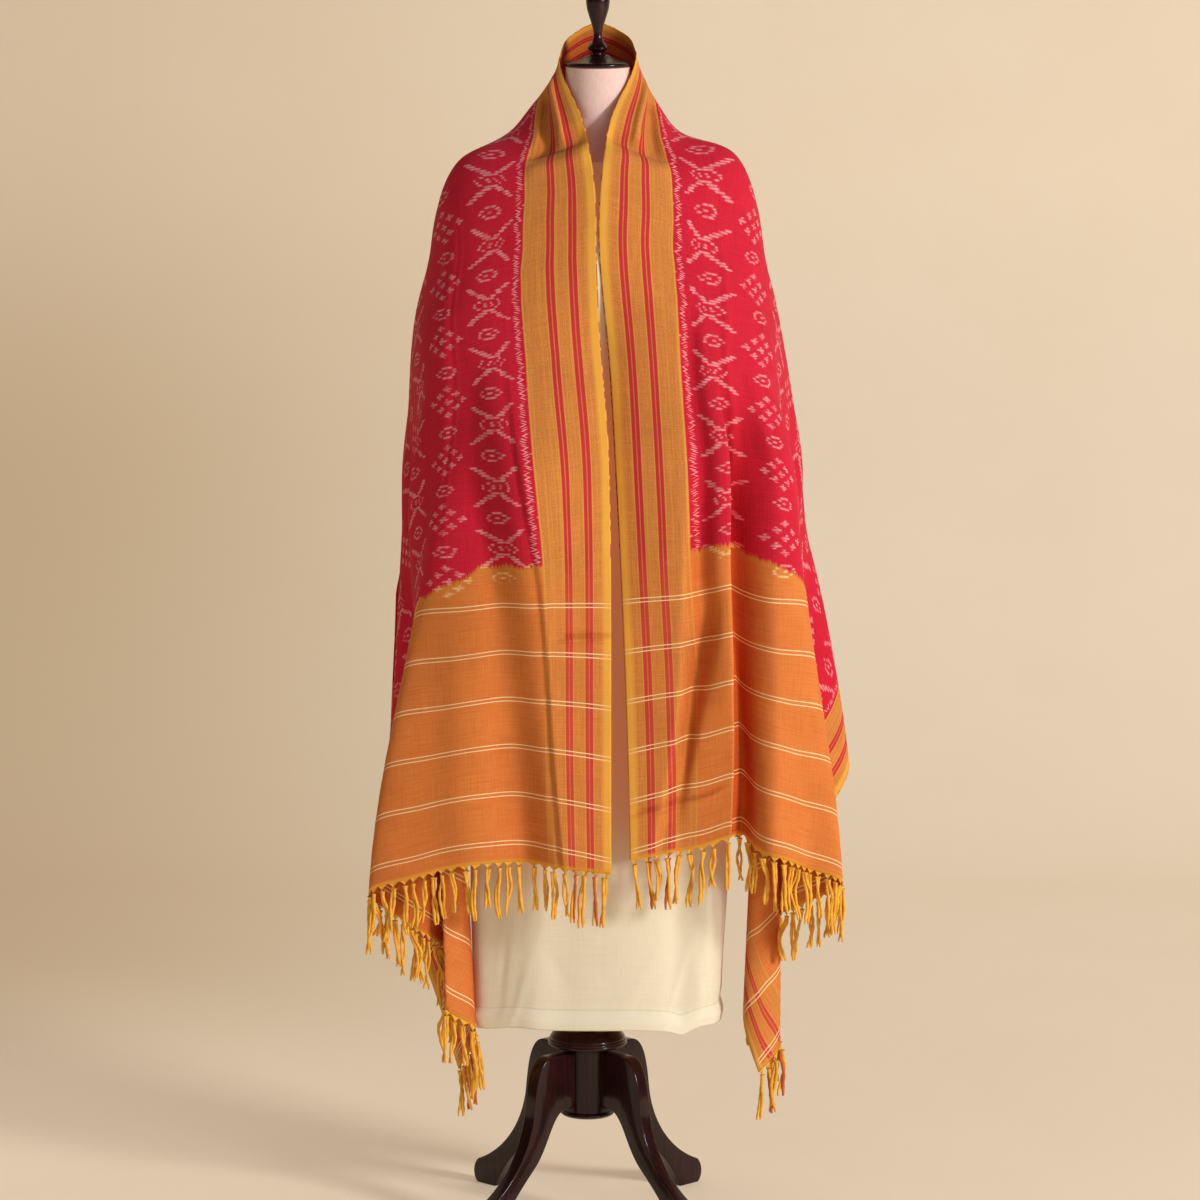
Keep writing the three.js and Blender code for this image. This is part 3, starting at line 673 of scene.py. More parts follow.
def openness(tree, reach, start, end):
    """From 0 to 1 as the share that things within reach leave open, in front of a point, goes from start
    to end."""
    hollow = add(tree, "AmbientOcclusion", None, reach, samples=HOLLOW_SAMPLES)
    return add(tree, RANGE, hollow.node.outputs["AO"], start, end, 0.0, 1.0)


# Ikat charts.  A motif is woven in steps of one weft group.  Each row of a chart is one step away from
# the motif's middle, and holds the start and end of its dash from the middle line, in millimetres.
WEFT_STEP = 3.52
MOTIF_PITCH = 25 * WEFT_STEP
CROSS_CHART = [(4, 8), (14, 19), (0, 11), (4, 17), (11, 24), (18, 31), (25, 37.5), (32, 43)]
EYE_CHART = [(13, 16.5), (8.5, 13.5), (0, 7.5)]
CHART_SCALE = 50.0
# The crosses stand this much nearer the neck edge than the middle of their column, and their arms toward
# that edge are this many times shorter.  Dots stand beside their middle row, and a dash fills each eye.
CROSS_MIDDLE = 7.0
SHORT_ARM = 1.75
CROSS_DOTS = (21, 25)
PUPIL = (-3, 3)
COLUMN_START = 150.0
COLUMN_PITCH = 80.5
# Feathering along the weft: the slip of each weft group and of single threads, in millimetres.
GROUP_SLIP = 4.4
THREAD_SLIP = 9.0
# How far apart neighbouring plus signs stand, across the cloth and along it.
PLUS_OUT = 13.0
PLUS_DOWN = 9.6


def charted(tree, chart, out, rows_away, soft):
    """1 on the dashes of a chart, whose row and distance from the middle line are given.  A colour ramp in
    flat steps holds the chart: its red is where a row's dash starts, and its green where it ends."""
    row = add(tree, "ValToRGB", add(tree, OVER, add(tree, PLUS, rows_away, 0.5), float(len(chart))))
    marks = row.node.color_ramp.elements
    row.node.color_ramp.interpolation = "CONSTANT"
    while len(marks) < len(chart):
        marks.new(1)
    for k, (mark, (start, end)) in enumerate(zip(marks, chart)):
        mark.position = k / len(chart)
        mark.color = (start / CHART_SCALE, end / CHART_SCALE, 0, 1)
    ends = add(tree, "SeparateColor", row).node.outputs
    start, end = [add(tree, TIMES, ends[k], CHART_SCALE) for k in (0, 1)]
    after = add(tree, RANGE, add(tree, MINUS, out, start), -soft, soft, 0.0, 1.0)
    before = add(tree, RANGE, add(tree, MINUS, end, out), -soft, soft, 0.0, 1.0)
    return add(tree, TIMES, after, before, add(tree, BELOW, rows_away, len(chart) - 0.5))


def diamond_of_plus(tree, out, down):
    """1 on nine small plus signs that stand in a diamond: the nearest place of a slanted lattice gives
    the sign, and only the three by three in the middle are kept."""
    u, v = add(tree, OVER, out, PLUS_OUT), add(tree, OVER, down, PLUS_DOWN)
    near = [add(tree, NEAREST, add(tree, TIMES, add(tree, way, u, v), 0.5)) for way in (PLUS, MINUS)]
    kept = add(tree, TIMES, *[add(tree, BELOW, add(tree, ABSOLUTE, number), 1.5) for number in near])
    x, y = [add(tree, ABSOLUTE, add(tree, MINUS, place, add(tree, TIMES, add(tree, way, *near), pitch)))
            for place, way, pitch in ((out, PLUS, PLUS_OUT), (down, MINUS, PLUS_DOWN))]
    dash = add(tree, TIMES, band(tree, x, -6, 6, 3), band(tree, y, -1.5, 1.5, 1))
    tick = add(tree, TIMES, band(tree, x, -1.9, 1.9, 1.6), band(tree, y, -4.6, 4.6, 1.2))
    return add(tree, TIMES, kept, add(tree, GREATER, dash, tick))


def feathered(tree, along, across, step, column):
    """Distance out from the middle of a column, with the slip of each weft group and of its threads."""
    group = add(tree, MINUS, add(tree, RANDOM, add(tree, PLACE, step, column, 0.0)), 0.5)
    thread = add(tree, MINUS, streaks(tree, (along, 0.9), (across, 0.06), 1.0), 0.5)
    slip = add(tree, TIMES, group, GROUP_SLIP), add(tree, TIMES, thread, THREAD_SLIP)
    middle = add(tree, PLUS, add(tree, TIMES, column, COLUMN_PITCH), COLUMN_START)
    return add(tree, MINUS, add(tree, PLUS, across, *slip), middle)


def ikat_marks(tree, along, across):
    """1 on the undyed marks of the field: columns of crosses with eyes between them, and columns of
    diamonds of small plus signs with eyes between them, all woven in steps and feathered along the weft."""
    rows = add(tree, OVER, along, WEFT_STEP)
    step = add(tree, WHOLE, rows)
    column = add(tree, NEAREST, add(tree, OVER, add(tree, MINUS, across, COLUMN_START), COLUMN_PITCH))
    out = feathered(tree, along, across, step, column)
    far = add(tree, ABSOLUTE, out)
    pairs = add(tree, TIMES, add(tree, NEAREST, add(tree, TIMES, column, 0.5)), 2.0)
    odd = add(tree, ABSOLUTE, add(tree, MINUS, column, pairs))
    even = add(tree, MINUS, 1.0, odd)
    middle = add(tree, TIMES, add(tree, PLUS, step, 0.5), WEFT_STEP)
    at_cross = wrapped(tree, middle, MOTIF_PITCH)
    at_eye = wrapped(tree, add(tree, PLUS, middle, MOTIF_PITCH / 2), MOTIF_PITCH)

    away = add(tree, WHOLE, add(tree, OVER, add(tree, ABSOLUTE, at_cross), WEFT_STEP))
    beside = add(tree, PLUS, out, CROSS_MIDDLE)
    reach = add(tree, GREATER, beside, add(tree, TIMES, beside, -SHORT_ARM))
    dots = add(tree, TIMES, add(tree, BELOW, away, 0.5), band(tree, reach, *CROSS_DOTS, 2))
    cross = add(tree, GREATER, charted(tree, CROSS_CHART, reach, away, 1.3), dots)
    eye_place = add(tree, PLUS, add(tree, TIMES, at_eye, even), add(tree, TIMES, at_cross, odd))
    shifted = add(tree, PLUS, eye_place, add(tree, TIMES, odd, WEFT_STEP / 2))
    eye_away = add(tree, NEAREST, add(tree, OVER, add(tree, ABSOLUTE, shifted), WEFT_STEP))
    pupil = add(tree, TIMES, add(tree, BELOW, eye_away, 0.5), band(tree, far, *PUPIL, 2))
    eye = add(tree, GREATER, charted(tree, EYE_CHART, far, eye_away, 1.4), pupil)
    between = wrapped(tree, add(tree, PLUS, along, MOTIF_PITCH / 2), MOTIF_PITCH)
    signs = diamond_of_plus(tree, out, between)

    marks = add(tree, PLUS, add(tree, TIMES, even, add(tree, GREATER, cross, eye)),
                add(tree, TIMES, odd, add(tree, GREATER, signs, eye)))
    within = add(tree, ABSOLUTE, add(tree, MINUS, rows, step, 0.5))
    pile = add(tree, RANGE, within, 0.15, 0.5, 1.0, 0.28)
    blotch = add(tree, NOISE, add(tree, PLACE, along, across), None, 0.11, 2.0)
    worn = add(tree, RANGE, blotch, 0.32, 0.62, 0.38, 0.86)
    return add(tree, TIMES, marks, pile, worn)


# The flat cloth in millimetres.  From the nearer long edge: the border's width, its double stripes, the
# paler lines beside them and at its inner edge, and the rope of dashes.  From the middle: where the end
# panels and their lines start.
BORDER_WIDTH = 101
STRIPES = [(26.8, 31.9), (33.0, 38.0), (57.2, 62.2), (63.4, 68.3)]
FLANKS = [(25.3, 26.8), (38.0, 39.4), (55.8, 57.2), (68.3, 69.8), (98.5, 102)]
ROPE = 108.8
PANEL_START = 818.0
PANEL_LINE = 877.0
LINE_PITCH = 72
# Where the right side's pattern starts to be beaten looser, and by what share.
LOOSE_FROM = 268.0
LOOSER = 0.09
# The rope's strokes: one in each step, thrown aside at random, slanted, and drifting over each run.
ROPE_STEP = 3.1
ROPE_THROW = 3.6
ROPE_SLANT = 5.5
ROPE_LEFT_SHARE = 0.38
ROPE_RUN = 44
ROPE_DRIFT = 0.07
# The panels' ragged start: it lies farther out from this far across, by a share of the way, up to a most,
# and bleeds along the warp in streaks and in slow waves.
LOWER_FROM = 180.0
LOWER_SHARE = 0.42
LOWER_MOST = 40.0
BLEED_BEFORE = 24.0
BLEED_STREAK = 30.0
BLEED_WAVE = 18.0
# Specks on the selvedge: pitch along it, share left out, and width.
SPECK_PITCH = 5.0
SPECKS_LEFT_OUT = 0.45
SPECK_WIDTH = 1.3
# A double weft line: from where to where each of its two lines lies from the middle of the pair.
WEFT_LINE = (2.1, 3.5)


def with_painted_fold_shade(tree, base, reach):
    """Paints shade into the folds: where ambient occlusion finds a hollow, the colour is multiplied by
    itself, so that orange turns toward red, which stands in for the darker light that goes from cloth to
    cloth there.  reach is how far a hollow looks for its other side."""
    fold_shade_colour = add(tree, "VectorMath.MULTIPLY", base, base)
    return add(tree, MIX, openness(tree, reach, 0.3, 0.97), fold_shade_colour, base)


def rope_of_dashes(tree, along, edge):
    """1 on the ragged chain of short undyed strokes beside the border: one to a weft group, slanted to one
    side or the other by a random number, in runs that drift sideways and start again."""
    turn = add(tree, OVER, along, ROPE_STEP)
    step = add(tree, WHOLE, turn)
    within = add(tree, MINUS, turn, step, 0.5)
    thrown, lean, wide, kept = [add(tree, RANDOM, add(tree, PLACE, step, seed, 0.0))
                                for seed in (3.0, 5.0, 9.0, 17.0)]
    drift = add(tree, TIMES, wrapped(tree, along, ROPE_RUN), ROPE_DRIFT)
    aside = add(tree, TIMES, add(tree, MINUS, thrown, 0.5), ROPE_THROW)
    slant = add(tree, RANGE, add(tree, ABOVE, lean, ROPE_LEFT_SHARE), 0.0, 1.0, -ROPE_SLANT, ROPE_SLANT)
    middle = add(tree, PLUS, ROPE, drift, aside, add(tree, TIMES, within, slant))
    off = add(tree, ABSOLUTE, add(tree, MINUS, edge, middle))
    dash = add(tree, RANGE, add(tree, MINUS, off, add(tree, PLUS, wide, 0.7)), 0.8, -0.5, 0.0, 1.0)
    return add(tree, TIMES, dash, add(tree, RANGE, kept, 0.08, 0.3, 0.2, 1.0))


def flat_places(tree):
    """What the cloth's colours are worked out from: the place of a point on the flat cloth, in
    millimetres, and its weave."""
    along, across = uv_in_mm(tree, "cloth")
    weave = threads(tree, along, across)
    return SimpleNamespace(
        along=along, across=across, weave=weave,
        from_middle=add(tree, ABSOLUTE, along),
        edge=add(tree, LESSER, across, add(tree, MINUS, float(CLOTH_WIDTH), across)),
        on_right=add(tree, ABOVE, along, 0.0),
        contrast=add(tree, RANGE, weave, 0.34, 0.66, 0.0, 1.0),
        slubs=streaks(tree, (along, 0.42), (across, 0.012), 3.0, 0.7))


def crimson_field(tree, at, marks, settings):
    """The field's colour: crimson, with the undyed marks and the rope of dashes beside the borders."""
    field = add(tree, MIX, at.contrast, dye("#B9182D"), rgba(settings.field))
    field = add(tree, MIX, marks, field, rgba(settings.motif))
    rope = add(tree, TIMES, rope_of_dashes(tree, at.along, at.edge), 0.85)
    return add(tree, MIX, rope, field, rgba(settings.motif))


def past_the_field(tree, at):
    """Distance past the end panel's ragged start, which bleeds along the warp in streaks and lies farther
    out away from the neck edge."""
    low = add(tree, TIMES, add(tree, GREATER, add(tree, MINUS, at.across, LOWER_FROM), 0.0), LOWER_SHARE)
    streak = add(tree, TIMES, streaks(tree, (at.along, 0.012), (at.across, 0.3), 3.0, 0.75), BLEED_STREAK)
    wave = add(tree, TIMES, streaks(tree, (at.on_right, 1.0), (at.across, 0.03), 1.0), BLEED_WAVE)
    start = add(tree, PLUS, add(tree, LESSER, low, LOWER_MOST), PANEL_START - BLEED_BEFORE, streak, wave)
    return add(tree, MINUS, at.from_middle, start)


def orange_panel(tree, at, marks, past, settings):
    """The end panels' colour: orange with redder slubs, golden at its start, where the last marks show."""
    panel = add(tree, MIX, at.contrast, dye("#CC6E30"), rgba(settings.panel))
    panel = add(tree, MIX, add(tree, RANGE, at.slubs, 0.5, 0.75, 0.0, 0.5), panel, dye("#C85A26"))
    panel = add(tree, MIX, add(tree, RANGE, past, 0.0, 20.0, 0.5, 0.0), panel, dye("#D08A34"))
    late_marks = add(tree, TIMES, marks, add(tree, RANGE, past, 17.0, 24.0, 0.9, 0.0))
    return add(tree, MIX, late_marks, panel, dye("#F3D592"))


def golden_border(tree, at, panel, settings):
    """The borders' colour: gold, mottled where red and yellow threads show, with a yellower selvedge and
    crimson double stripes between pale flanks.  Along the end panels it takes some of their weft."""
    warps = streaks(tree, (at.along, 0.003), (at.across, 0.34), 2.0, 0.6)
    heather = streaks(tree, (at.along, 1.1), (at.across, 0.28), 2.0, 0.7)
    border = add(tree, MIX, at.contrast, dye("#B66C2A"), rgba(settings.border))
    # Each pattern shows its thread from 0 at start to the most at end.
    for pattern, start, end, most, thread in (
            (at.slubs, 0.42, 0.66, 0.8, dye("#CC7038")),
            (heather, 0.52, 0.74, 0.6, dye("#DE9A78")),
            (heather, 0.46, 0.3, 0.6, dye("#B9642A")),
            (warps, 0.5, 0.66, 0.35, dye("#E0A040")),
            (at.edge, 16.0, 9.0, 0.8, rgba(settings.selvedge))):
        border = add(tree, MIX, add(tree, RANGE, pattern, start, end, 0.0, most), border, thread)
    for lines, share, thread in ((FLANKS, 0.55, dye("#D9A240")), (STRIPES, 0.94, rgba(settings.stripe))):
        for start, end in lines:
            line = add(tree, TIMES, band(tree, at.edge, start, end, 1), share)
            border = add(tree, MIX, line, border, thread)
    ends = add(tree, RANGE, at.from_middle, PANEL_START, PANEL_START + 60, 0.0, 0.3)
    inner = add(tree, RANGE, at.edge, 9.0, 40.0, 0.2, 1.0)
    border = add(tree, MIX, add(tree, TIMES, ends, inner), border, panel)
    for start, end in STRIPES:
        line = add(tree, TIMES, ends, band(tree, at.edge, start, end, 1))
        border = add(tree, MIX, line, border, rgba(settings.stripe))
    return border


def with_edges_and_lines(tree, at, base, settings):
    """Adds the specks where the crimson weft turns round the selvedge, the yellow warp ends at the hem,
    and the pale double weft lines across the panels, which dip a little toward the neck edge."""
    step = add(tree, WHOLE, add(tree, OVER, at.along, SPECK_PITCH))
    speck = add(tree, ABOVE, add(tree, RANDOM, add(tree, PLACE, step, 5.0, 0.0)), SPECKS_LEFT_OUT)
    at_selvedge = add(tree, BELOW, at.edge, SPECK_WIDTH), add(tree, BELOW, at.from_middle, PANEL_START)
    base = add(tree, MIX, add(tree, TIMES, speck, *at_selvedge, 0.8), base, dye("#B02A3A"))
    hem = add(tree, RANGE, at.from_middle, CLOTH_LENGTH / 2 - 6, CLOTH_LENGTH / 2 - 1, 0.0, 0.8)
    base = add(tree, MIX, hem, base, rgba(settings.yarn))
    dip = add(tree, PLUS, add(tree, RANGE, at.edge, 0.0, 90.0, 9.0, 0.0), add(tree, TIMES, at.on_right, 7.0))
    beyond = add(tree, MINUS, at.from_middle, PANEL_LINE, dip)
    pair = band(tree, add(tree, ABSOLUTE, wrapped(tree, beyond, LINE_PITCH)), *WEFT_LINE, 0.8)
    lines = add(tree, TIMES, pair, add(tree, ABOVE, at.from_middle, PANEL_LINE - 15.0),
                add(tree, RANGE, at.edge, 2.0, 18.0, 0.45, 0.92))
    return add(tree, MIX, lines, base, rgba(settings.line))


def patola_cloth(settings):
    """Ikat cotton and silk, tie-dyed before it is woven: matt crimson with marks that are feathered along
    the weft, golden borders that look melange, and orange end panels with a red bleed."""
    material, tree = new_material("ikat_cotton_silk")
    at = flat_places(tree)
    loose = add(tree, TIMES, add(tree, GREATER, add(tree, MINUS, at.along, LOOSE_FROM), 0.0), LOOSER)
    marks = ikat_marks(tree, add(tree, MINUS, at.along, loose), at.across)
    past = past_the_field(tree, at)
    panel = orange_panel(tree, at, marks, past, settings)
    in_panel = add(tree, RANGE, past, -2.5, 3.5, 0.0, 1.0)
    base = add(tree, MIX, in_panel, crimson_field(tree, at, marks, settings), panel)
    in_border = band(tree, at.edge, -10, BORDER_WIDTH, 1.2)
    base = add(tree, MIX, in_border, base, golden_border(tree, at, panel, settings))
    base = with_edges_and_lines(tree, at, base, settings)
    broad = add(tree, NOISE, add(tree, PLACE, at.along, at.across), None, 0.012, 2.0)
    base = add(tree, "VectorMath.SCALE", base, None, None, add(tree, RANGE, broad, 0.3, 0.7, 0.95, 1.05))
    # Painted shade: the colour is darkened and reddened in the folds.
    finish_material(tree, with_painted_fold_shade(tree, base, 0.07), 0.85, at.weave, 0.35,
                    Sheen_Weight=0.04, Sheen_Roughness=0.5, Specular_IOR_Level=0.15)
    return material


def tassel_yarn(settings):
    """Twisted cotton and silk warp ends: golden, matt, with red strands below the border's stripes."""
    material, tree = new_material("twisted_warp_yarn")
    across, along = uv_in_mm(tree, "yarn")
    edge = add(tree, LESSER, across, add(tree, MINUS, float(CLOTH_WIDTH), across))
    fibre = streaks(tree, (across, 2.5), (along, 0.1), 2.0)
    base = add(tree, MIX, add(tree, RANGE, fibre, 0.3, 0.7, 0.0, 1.0), dye("#E09A28"), rgba(settings.yarn))
    red = add(tree, GREATER, band(tree, edge, 27, 37.5, 1), band(tree, edge, 57.8, 68, 1))
    base = add(tree, MIX, add(tree, TIMES, red, 0.8), base, dye("#B5402A"))
    finish_material(tree, base, 0.8, fibre, 0.3, Sheen_Weight=0.15, Specular_IOR_Level=0.25)
    return material


# Strength of the painted glow on the cotton and the jersey under the dupatta, which stands in for the light
# that comes through it.
COTTON_PAINTED_GLOW = 0.72
JERSEY_PAINTED_GLOW = 0.3


def with_painted_warm_light(tree, base, relief, shaded, shade_tint, strength, emission):
    """Finishes cotton that the dupatta shades, with painted light: where shaded is high, its colour is mixed
    toward a painted warm shade tint and it takes a painted glow that stands in for the light that comes
    through the thin dyed cloth.
    """
    base = add(tree, MIX, shaded, base, dye(shade_tint))
    finish_material(tree, base, 0.87, relief, 0.25, glow=add(tree, TIMES, shaded, strength),
                    Sheen_Weight=0.1, Specular_IOR_Level=0.2, Emission_Color=dye(emission))


def jersey_knit(settings):
    """Cotton jersey stretched over the padded torso: matt, with the faint ribs of a fine knit."""
    material, tree = new_material("stretched_jersey")
    place = add(tree, "VectorMath.MULTIPLY", object_in_mm(tree), (0.9, 0.9, 0.12))
    ribs = add(tree, NOISE, place, None, 1.0, 2.0)
    base = add(tree, MIX, add(tree, RANGE, ribs, 0.3, 0.7, 0.0, 1.0), dye("#E2BDB2"), rgba(settings.jersey))
    # Painted shade and glow: in hollows the jersey is tinted warm and glows, standing in for light through
    # the dupatta.
    with_painted_warm_light(tree, base, ribs, openness(tree, 0.1, 0.6, 0.15), "#C98A80", JERSEY_PAINTED_GLOW, "#B0604E")
    return material


# Heights in millimetres: the turned-up hem's seam, along which a line of painted shade runs, and the skirt
# from where the dupatta covers it: below the first the painted glow and shade are at a quarter, above the
# second they are whole.
SEAM = 312.5
COVERED = (480.0, 600.0)


def plain_cotton(settings):
    """Undyed cotton lawn, washed and lightly creased: warm white, matt, with slubs in both ways.  Where the
    dupatta shades it, a painted warm shade tint and a painted glow stand in for the red light that comes
    through the thin dyed cloth."""
    material, tree = new_material("undyed_cotton")
    around, height = uv_in_mm(tree, "cloth")
    weave = threads(tree, height, around, 1.8, 30.0)
    base = add(tree, MIX, add(tree, RANGE, weave, 0.3, 0.7, 0.0, 1.0), dye("#E4D8BC"), rgba(settings.slip))
    base = add(tree, MIX, add(tree, RANGE, height, SEAM + 0.5, SEAM - 1.5, 0.0, 0.35), base, dye("#F0E9D3"))
    # Painted shade: a darker line along the top edge of the turned-up hem.
    seam_shade = add(tree, TIMES, band(tree, height, SEAM - 1, SEAM + 1, 1.5), 0.35)
    base = add(tree, MIX, seam_shade, base, dye("#C9B890"))
    above_floor = add(tree, "SeparateXYZ", object_in_mm(tree)).node.outputs[2]
    covered = add(tree, RANGE, above_floor, *COVERED, 0.25, 1.0)
    # Painted shade and glow: strongest where ambient occlusion finds the skirt hidden under the dupatta.
    shaded = add(tree, TIMES, openness(tree, 0.25, 0.4, 0.1), covered)
    with_painted_warm_light(tree, base, weave, shaded, "#DE9C70", COTTON_PAINTED_GLOW, "#B26E46")
    return material


def polished_mahogany(settings):
    """Mahogany under dark varnish: near black red-brown, with long fine grain and a hard wet gloss."""
    material, tree = new_material("varnished_mahogany")
    place = add(tree, "VectorMath.MULTIPLY", object_in_mm(tree), (0.25, 0.25, 0.02))
    grain = add(tree, NOISE, place, None, 1.0, 4.0, 0.6)
    base = add(tree, MIX, add(tree, RANGE, grain, 0.35, 0.7, 0.0, 1.0), dye("#140605"), rgba(settings.wood))
    finish_material(tree, base, 0.32, grain, 0.04,
                    Coat_Weight=0.4, Coat_Roughness=0.08, Specular_IOR_Level=0.14)
    return material


# ---------------------------------------------------------------------------------------------
# Dupatta
# ---------------------------------------------------------------------------------------------

class DUPATTA_OT_cloth(bpy.types.Operator):
    """Drapes the woven cloth: the flat grid goes to its place on the hanging lines, with its folds."""

    bl_idname = "dupatta.cloth"
    bl_label = "Drape the cloth"

    def execute(self, context):
        settings = context.scene.dupatta_cloth
        along, across = cloth_grid(settings.columns)
        points = hung(along, across)
        piece = new_piece("patola_cloth", points.reshape(-1, 3), grid_faces(*along.shape)[:, ::-1],
                          ("dupatta",))
        set_uv(piece, "cloth", along.ravel() * MM, across.ravel() * MM)
        thicken(piece, settings.thickness)
        piece.data.materials.append(patola_cloth(settings))
        return {"FINISHED"}


# Strands of a tassel and the web over its knot, in metres.
STRAND_STEPS = 24
STRAND_SIDES = 8
STRAND_RADIUS = 0.0021
WEB_ROWS = 6
WEB_COLUMNS = 7
KNOT_DROP = 0.0075
KNOT_OUT = 0.001
HANG_OUT = 0.003
# How the tassels differ: sideways shift of the knot as a share of their pitch, spread of their lean, of
# their sway in metres, the least and most length, looseness, turns and thickness of their strands, and
# the seed of each end's draws.
KNOT_SHIFT = (-0.16, 0.16)
LEAN = 0.075
SWAY = 0.0022
LENGTHS = (0.84, 1.14)
LOOSENESS = (0.2, 1.0)
TWISTS = (1.5, 5)
THICKNESSES = (0.8, 1.2)
DRAWS = {"left": 21, "right": 12}


def tube_of(path, radius):
    """Points (n, steps, STRAND_SIDES, 3) of round tubes along paths (n, steps, 3), with a radius for each
    step.

    The section stands square to the path: its two ways are the cross products of the path's direction.
    """
    forward = unit(np.gradient(path, axis=1))
    guide = np.array([0.0, 1.0, 0.05])
    first = unit(np.cross(forward, guide))
    second = np.cross(forward, first)
    turn = np.arange(STRAND_SIDES) / STRAND_SIDES * TAU
    ring = first[..., None, :] * np.cos(turn)[:, None] + second[..., None, :] * np.sin(turn)[:, None]
    return path[..., None, :] + ring * radius[..., None, None]


def repeated(faces, count, size, start):
    """The faces of one part, for count parts of size points each that follow point number start."""
    return (faces + start + np.arange(count)[:, None, None] * size).reshape(-1, 4)


def web_points(strip, root, knot, outward, w):
    """Points (n, rows, columns, 3) of the webs of warp ends: s goes from 0 at the hem to 1 at the knot, and
    their width falls mostly as (1 - s) ** 1.35."""
    s = np.linspace(0, 1, WEB_ROWS)[:, None]
    top, foot, low = strip[:, None, :, 1], root[:, None, None, :], knot[:, None, None, :]
    narrow = (1 - s) ** 1.35 * 0.86 + 0.14 * (1 - s)
    web = foot + (low - foot) * s[..., None] + (top - foot) * narrow[..., None]
    web += outward[:, None, None, :] * (0.0008 * (1 - s) + 0.0013 * np.cos(w * 4) * s)[..., None]
    return web, s


def tassel_meshes(side, settings):
    """Points, quads and flat places of one end's tassels.

    Each tassel starts as a small web of warp ends that draws together into a knot under the hem.  Below
    the knot two soft strands wind loosely round each other down a path that hangs straight, with a sway
    and a lean of its own, and spread near their ends.
    """
    count = settings.tassels
    draw = np.random.default_rng(DRAWS[side])
    sign = -1 if side == "left" else 1
    pitch = CLOTH_WIDTH / count
    middle = (np.arange(count) + 0.5) * pitch
    w = np.linspace(-0.5, 0.5, WEB_COLUMNS)
    spread = middle[:, None] + w * pitch
    ends = sign * (CLOTH_LENGTH / 2 - np.array([12.0, 1.0, 0.0]))
    strip = hung(*np.meshgrid(np.sort(ends), spread.ravel())).reshape(count, WEB_COLUMNS, 3, 3)[:, :, ::sign]
    root, inner = strip[:, WEB_COLUMNS // 2, 2], strip[:, WEB_COLUMNS // 2, 0]
    hem = strip[:, -1, 2] - strip[:, 0, 2]
    outward = unit(np.cross(hem, root - inner)) * sign
    fall = unit(unit(root - inner) * 0.5 + [0, 0, -1])
    knot = root + fall * KNOT_DROP + outward * KNOT_OUT + hem * draw.uniform(*KNOT_SHIFT, (count, 1))

    lean = draw.normal(0, LEAN, (count, 2))
    sway = draw.normal(0, SWAY, (count, 2))
    phase = draw.uniform(0, TAU, (count, 2))
    t = np.linspace(0, 1, STRAND_STEPS)
    drop = (settings.tassel * draw.uniform(*LENGTHS, count))[:, None] * t
    path = np.repeat(knot[:, None, :], STRAND_STEPS, axis=1)
    path[..., 2] -= drop
    for k in (0, 1):
        wave = np.sin(t * 5 + phase[:, k, None]) - np.sin(phase[:, k, None])
        path[..., k] += lean[:, k, None] * drop + sway[:, k, None] * wave * ramp(t, 0, 0.4)
    path += outward[:, None, :] * (HANG_OUT * ramp(t, 0, 0.5))[:, None]

    loose = draw.uniform(*LOOSENESS, (count, 1))
    turns = draw.uniform(*TWISTS, (count, 1))
    points, quads, flats, start = [], [], [], 0
    one = grid_faces(STRAND_STEPS, STRAND_SIDES, closed=True)
    for strand in (0, 1):
        turn = strand * math.pi + t * turns + phase[:, :1]
        apart = STRAND_RADIUS * (0.75 + 0.9 * loose * bump(t, 0.45, 0.25) + 1.3 * loose * ramp(t, 0.7, 1.0))
        wound = path.copy()
        wound[..., 0] += np.cos(turn) * apart
        wound[..., 1] += np.sin(turn) * apart * 0.6
        radius = STRAND_RADIUS * (1 + 0.55 * bump(t, 0, 0.04)) * (1 - 0.4 * ramp(t, 0.88, 1.0))
        radius = radius * draw.uniform(*THICKNESSES, (count, 1)) * (1 + 0.12 * np.sin(t * 31 + phase[:, 1:]))
        tube = tube_of(wound, radius)
        quads.append(repeated(one, count, STRAND_STEPS * STRAND_SIDES, start))
        points.append(tube.reshape(-1, 3))
        across = middle[:, None, None] + (strand - 0.5) * pitch * 0.5 + np.zeros(tube.shape[:3])
        down = np.broadcast_to(drop[..., None] / MM, across.shape)
        flats.append(np.stack([across, down], axis=-1).reshape(-1, 2))
        start += across.size
    web, s = web_points(strip, root, knot, outward, w)
    quads.append(repeated(grid_faces(WEB_ROWS, WEB_COLUMNS), count, WEB_ROWS * WEB_COLUMNS, start))
    points.append(web.reshape(-1, 3))
    across = np.broadcast_to(spread[:, None, :], web.shape[:3])
    flats.append(np.stack([across, np.broadcast_to(s * 8, across.shape)], axis=-1).reshape(-1, 2))
    return np.concatenate(points), np.concatenate(quads), np.concatenate(flats) * MM


class DUPATTA_OT_tassels(bpy.types.Operator):
    """Knots the fringe of both ends: one mesh of twisted tassels for each."""

    bl_idname = "dupatta.tassels"
    bl_label = "Knot the tassels"

    def execute(self, context):
        settings = context.scene.dupatta_cloth
        yarn = tassel_yarn(settings)
        for side in ("left", "right"):
            points, quads, flat = tassel_meshes(side, settings)
            piece = new_piece("tassels_" + side, points, quads, ("fringe_" + side,))
            set_uv(piece, "yarn", flat[:, 0], flat[:, 1])
            piece.data.materials.append(yarn)
        return {"FINISHED"}


# ---------------------------------------------------------------------------------------------
# Dress form
# ---------------------------------------------------------------------------------------------

